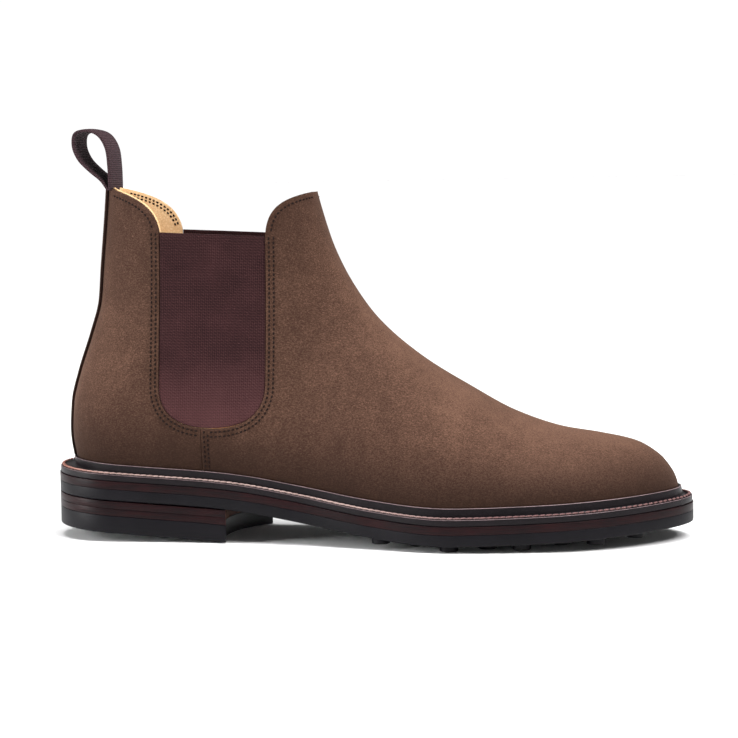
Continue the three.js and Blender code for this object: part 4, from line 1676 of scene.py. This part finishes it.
class BOOT_OT_pull_loop(BootOperator):
    """Makes the ribbon pull loop"""
    bl_idname = "boot.pull_loop"
    bl_label = "Pull loop"

    def execute(self, context):
        obj = make_pull_loop()
        stand_for("pull_loop", obj, with_loop, "ribbon", "ribbon", "ribbon")
        return {"FINISHED"}


class BOOT_OT_seams(BootOperator):
    """Makes the upper's visible stitches"""
    bl_idname = "boot.seams"
    bl_label = "Upper stitches"

    def execute(self, context):
        inside = -(SUEDE + CLEARANCE + LINING)
        lining_rows = [moved(quarter_seams()[-1], row) for row in LINING_ROWS]
        for name, paths, lift, moves in (
            ("quarter_stitches", quarter_seams(), STITCH_LIFT, with_quarter),
            ("vamp_stitches", vamp_seams(), STITCH_LIFT, with_boot),
            ("quarter_lining_stitches", lining_rows, inside, with_quarter),
        ):
            obj = seam_stitches(name, paths, lift)
            dress(obj, "thread", "seam_thread")
            moves(obj)
        return {"FINISHED"}


class BOOT_OT_welt(BootOperator):
    """Makes the storm welt and its stitches"""
    bl_idname = "boot.welt"
    bl_label = "Welt and its stitches"

    def execute(self, context):
        stand_for("storm_welt", make_storm_welt(), with_boot, "welt_leather", "welt")
        stand_for("welt_stitching", make_welt_stitches(), with_boot, "thread", "welt_thread")
        return {"FINISHED"}


class BOOT_OT_soles(BootOperator):
    """Makes the leather midsole and the studded rubber outsole"""
    bl_idname = "boot.soles"
    bl_label = "Midsole and outsole"

    def execute(self, context):
        low = OUTSOLE + CLEARANCE
        midsole = plate("midsole_leather", SOLE_LOOP, low, low + MIDSOLE + SOLE_FILL, (0.15, 0.15))
        stand_for("midsole", midsole, with_boot, "sole_leather", "stacked")
        stand_for("outsole", make_outsole(), with_boot, "rubber", "rubber")
        return {"FINISHED"}


class BOOT_OT_heel(BootOperator):
    """Makes the two leather lifts and the rubber top piece of the heel"""
    bl_idname = "boot.heel"
    bl_label = "Heel"

    def execute(self, context):
        for count, node in enumerate(("heel_lift_upper", "heel_lift_lower")):
            lift = make_lift(node + "_leather", count)
            stand_for(node, lift, with_boot, "sole_leather", "lift", "breast")
            for face in lift.data.polygons:
                face.material_index = int(face.normal.x > 0.6)
        top = lift_face(2)
        top_piece = heel_block("heel_top_piece_rubber", heel_ground, lambda x: top(x) + SOLE_FILL, 0.3)
        stand_for("heel_top_piece", top_piece, with_boot, "rubber", "rubber")
        return {"FINISHED"}


class BOOT_OT_inner(BootOperator):
    """Gives the pieces inside the boot their materials"""
    bl_idname = "boot.inner"
    bl_label = "Inner pieces"

    def execute(self, context):
        for name, finish in INNER.items():
            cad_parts[name].material_slots[0].material = material(finish)
        return {"FINISHED"}


# Stage

BACKDROP_RADIUS = 15
BACKDROP_HEIGHT = 3.2


def floor_finish():
    """Matt pale paper."""
    f = Finish("floor")
    clouds = f.noise(300, f.place(), 2)
    base = f.mix(clouds, colour((0.80, 0.80, 0.80)), colour((0.78, 0.78, 0.78)))
    return f.surface(Base_Color=base, Roughness=0.9, Specular_IOR_Level=0.1)


def backdrop_finish():
    """Evenly lit paper far behind."""
    f = Finish("backdrop")
    return f.surface(Base_Color=colour((0, 0, 0)), Emission_Color=colour((1, 1, 1)), Emission_Strength=1.0)


def add_floor():
    bpy.ops.object.select_all(action="DESELECT")
    bpy.ops.mesh.primitive_circle_add(vertices=96, radius=BACKDROP_RADIUS, fill_type="NGON")
    floor = bpy.context.object
    floor.name = "floor"
    floor.data.materials.append(floor_finish())
    bpy.ops.object.select_all(action="DESELECT")
    middle = BACKDROP_HEIGHT / 2
    bpy.ops.mesh.primitive_cylinder_add(
        vertices=96, radius=BACKDROP_RADIUS, depth=BACKDROP_HEIGHT, end_fill_type="NOTHING",
        location=(0, 0, middle),
    )
    backdrop = bpy.context.object
    backdrop.name = "backdrop"
    backdrop.data.materials.append(backdrop_finish())


def add_area(name, where, target, size, power):
    light = bpy.data.lights.new(name, "AREA")
    light.shape = "RECTANGLE"
    light.size, light.size_y = size
    light.energy = power
    obj = bpy.data.objects.new(name, light)
    bpy.context.collection.objects.link(obj)
    obj.location = where
    obj.rotation_euler = (Vector(target) - Vector(where)).to_track_quat("-Z", "Y").to_euler()


def add_lights(scene):
    world = bpy.data.worlds.new("studio")
    world.use_nodes = True
    background = world.node_tree.nodes["Background"]
    background.inputs["Color"].default_value = (1, 1, 1, 1)
    background.inputs["Strength"].default_value = 0.12
    scene.world = world
    scene.view_settings.view_transform = "Standard"
    middle = (0, 0, 0.08)
    add_ceiling()
    add_area("front_box", (0.9, -0.5, 1.2), middle, (0.8, 0.8), 30)
    add_area("rear_box", (-1.3, -0.6, 0.4), middle, (0.35, 0.8), 22)


def add_ceiling():
    """Soft light from straight above, the same all over the floor."""
    light = bpy.data.lights.new("ceiling", "SUN")
    light.energy = 3.6
    light.angle = math.radians(40)
    obj = bpy.data.objects.new("ceiling", light)
    bpy.context.collection.objects.link(obj)


AIM = (0.3, 1.08, 79.5)


def add_camera(scene):
    stage = scene.boot_stage
    aim = Vector(AIM) * MM
    level = math.cos(stage.elevation) * stage.distance
    where = aim + Vector((
        math.sin(stage.azimuth) * level,
        -math.cos(stage.azimuth) * level,
        math.sin(stage.elevation) * stage.distance,
    ))
    data = bpy.data.cameras.new("camera")
    data.lens = stage.lens
    data.sensor_width = 36
    camera = bpy.data.objects.new("camera", data)
    scene.collection.objects.link(camera)
    camera.location = where
    turn = (aim - where).to_track_quat("-Z", "Y").to_matrix()
    camera.rotation_euler = (turn @ Matrix.Rotation(stage.roll, 3, "Z")).to_euler()
    scene.camera = camera


OPERATORS = [
    BOOT_OT_stage, BOOT_OT_vamp, BOOT_OT_quarter, BOOT_OT_gores, BOOT_OT_linings, BOOT_OT_back_bands,
    BOOT_OT_pull_loop, BOOT_OT_seams, BOOT_OT_welt, BOOT_OT_soles, BOOT_OT_heel, BOOT_OT_inner,
]


class BOOT_PT_panel(bpy.types.Panel):
    bl_idname = "BOOT_PT_panel"
    bl_label = "Chelsea boot"
    bl_space_type = "VIEW_3D"
    bl_region_type = "UI"
    bl_category = "Boot"

    def draw(self, context):
        for operator in OPERATORS:
            self.layout.operator(operator.bl_idname)


GROUPS = {"boot_colours": BootColours, "boot_sizes": BootSizes, "boot_stage": BootStage}


def register():
    for group in GROUPS.values():
        bpy.utils.register_class(group)
    for name, group in GROUPS.items():
        setattr(bpy.types.Scene, name, PointerProperty(type=group))
    for cls in [*OPERATORS, BOOT_PT_panel]:
        bpy.utils.register_class(cls)


def unregister():
    for cls in [BOOT_PT_panel, *reversed(OPERATORS)]:
        bpy.utils.unregister_class(cls)
    for name, group in GROUPS.items():
        delattr(bpy.types.Scene, name)
        bpy.utils.unregister_class(group)


def main():
    register()
    for operator in OPERATORS:
        group, name = operator.bl_idname.split(".")
        getattr(getattr(bpy.ops, group), name)()


if __name__ == "__main__":
    main()
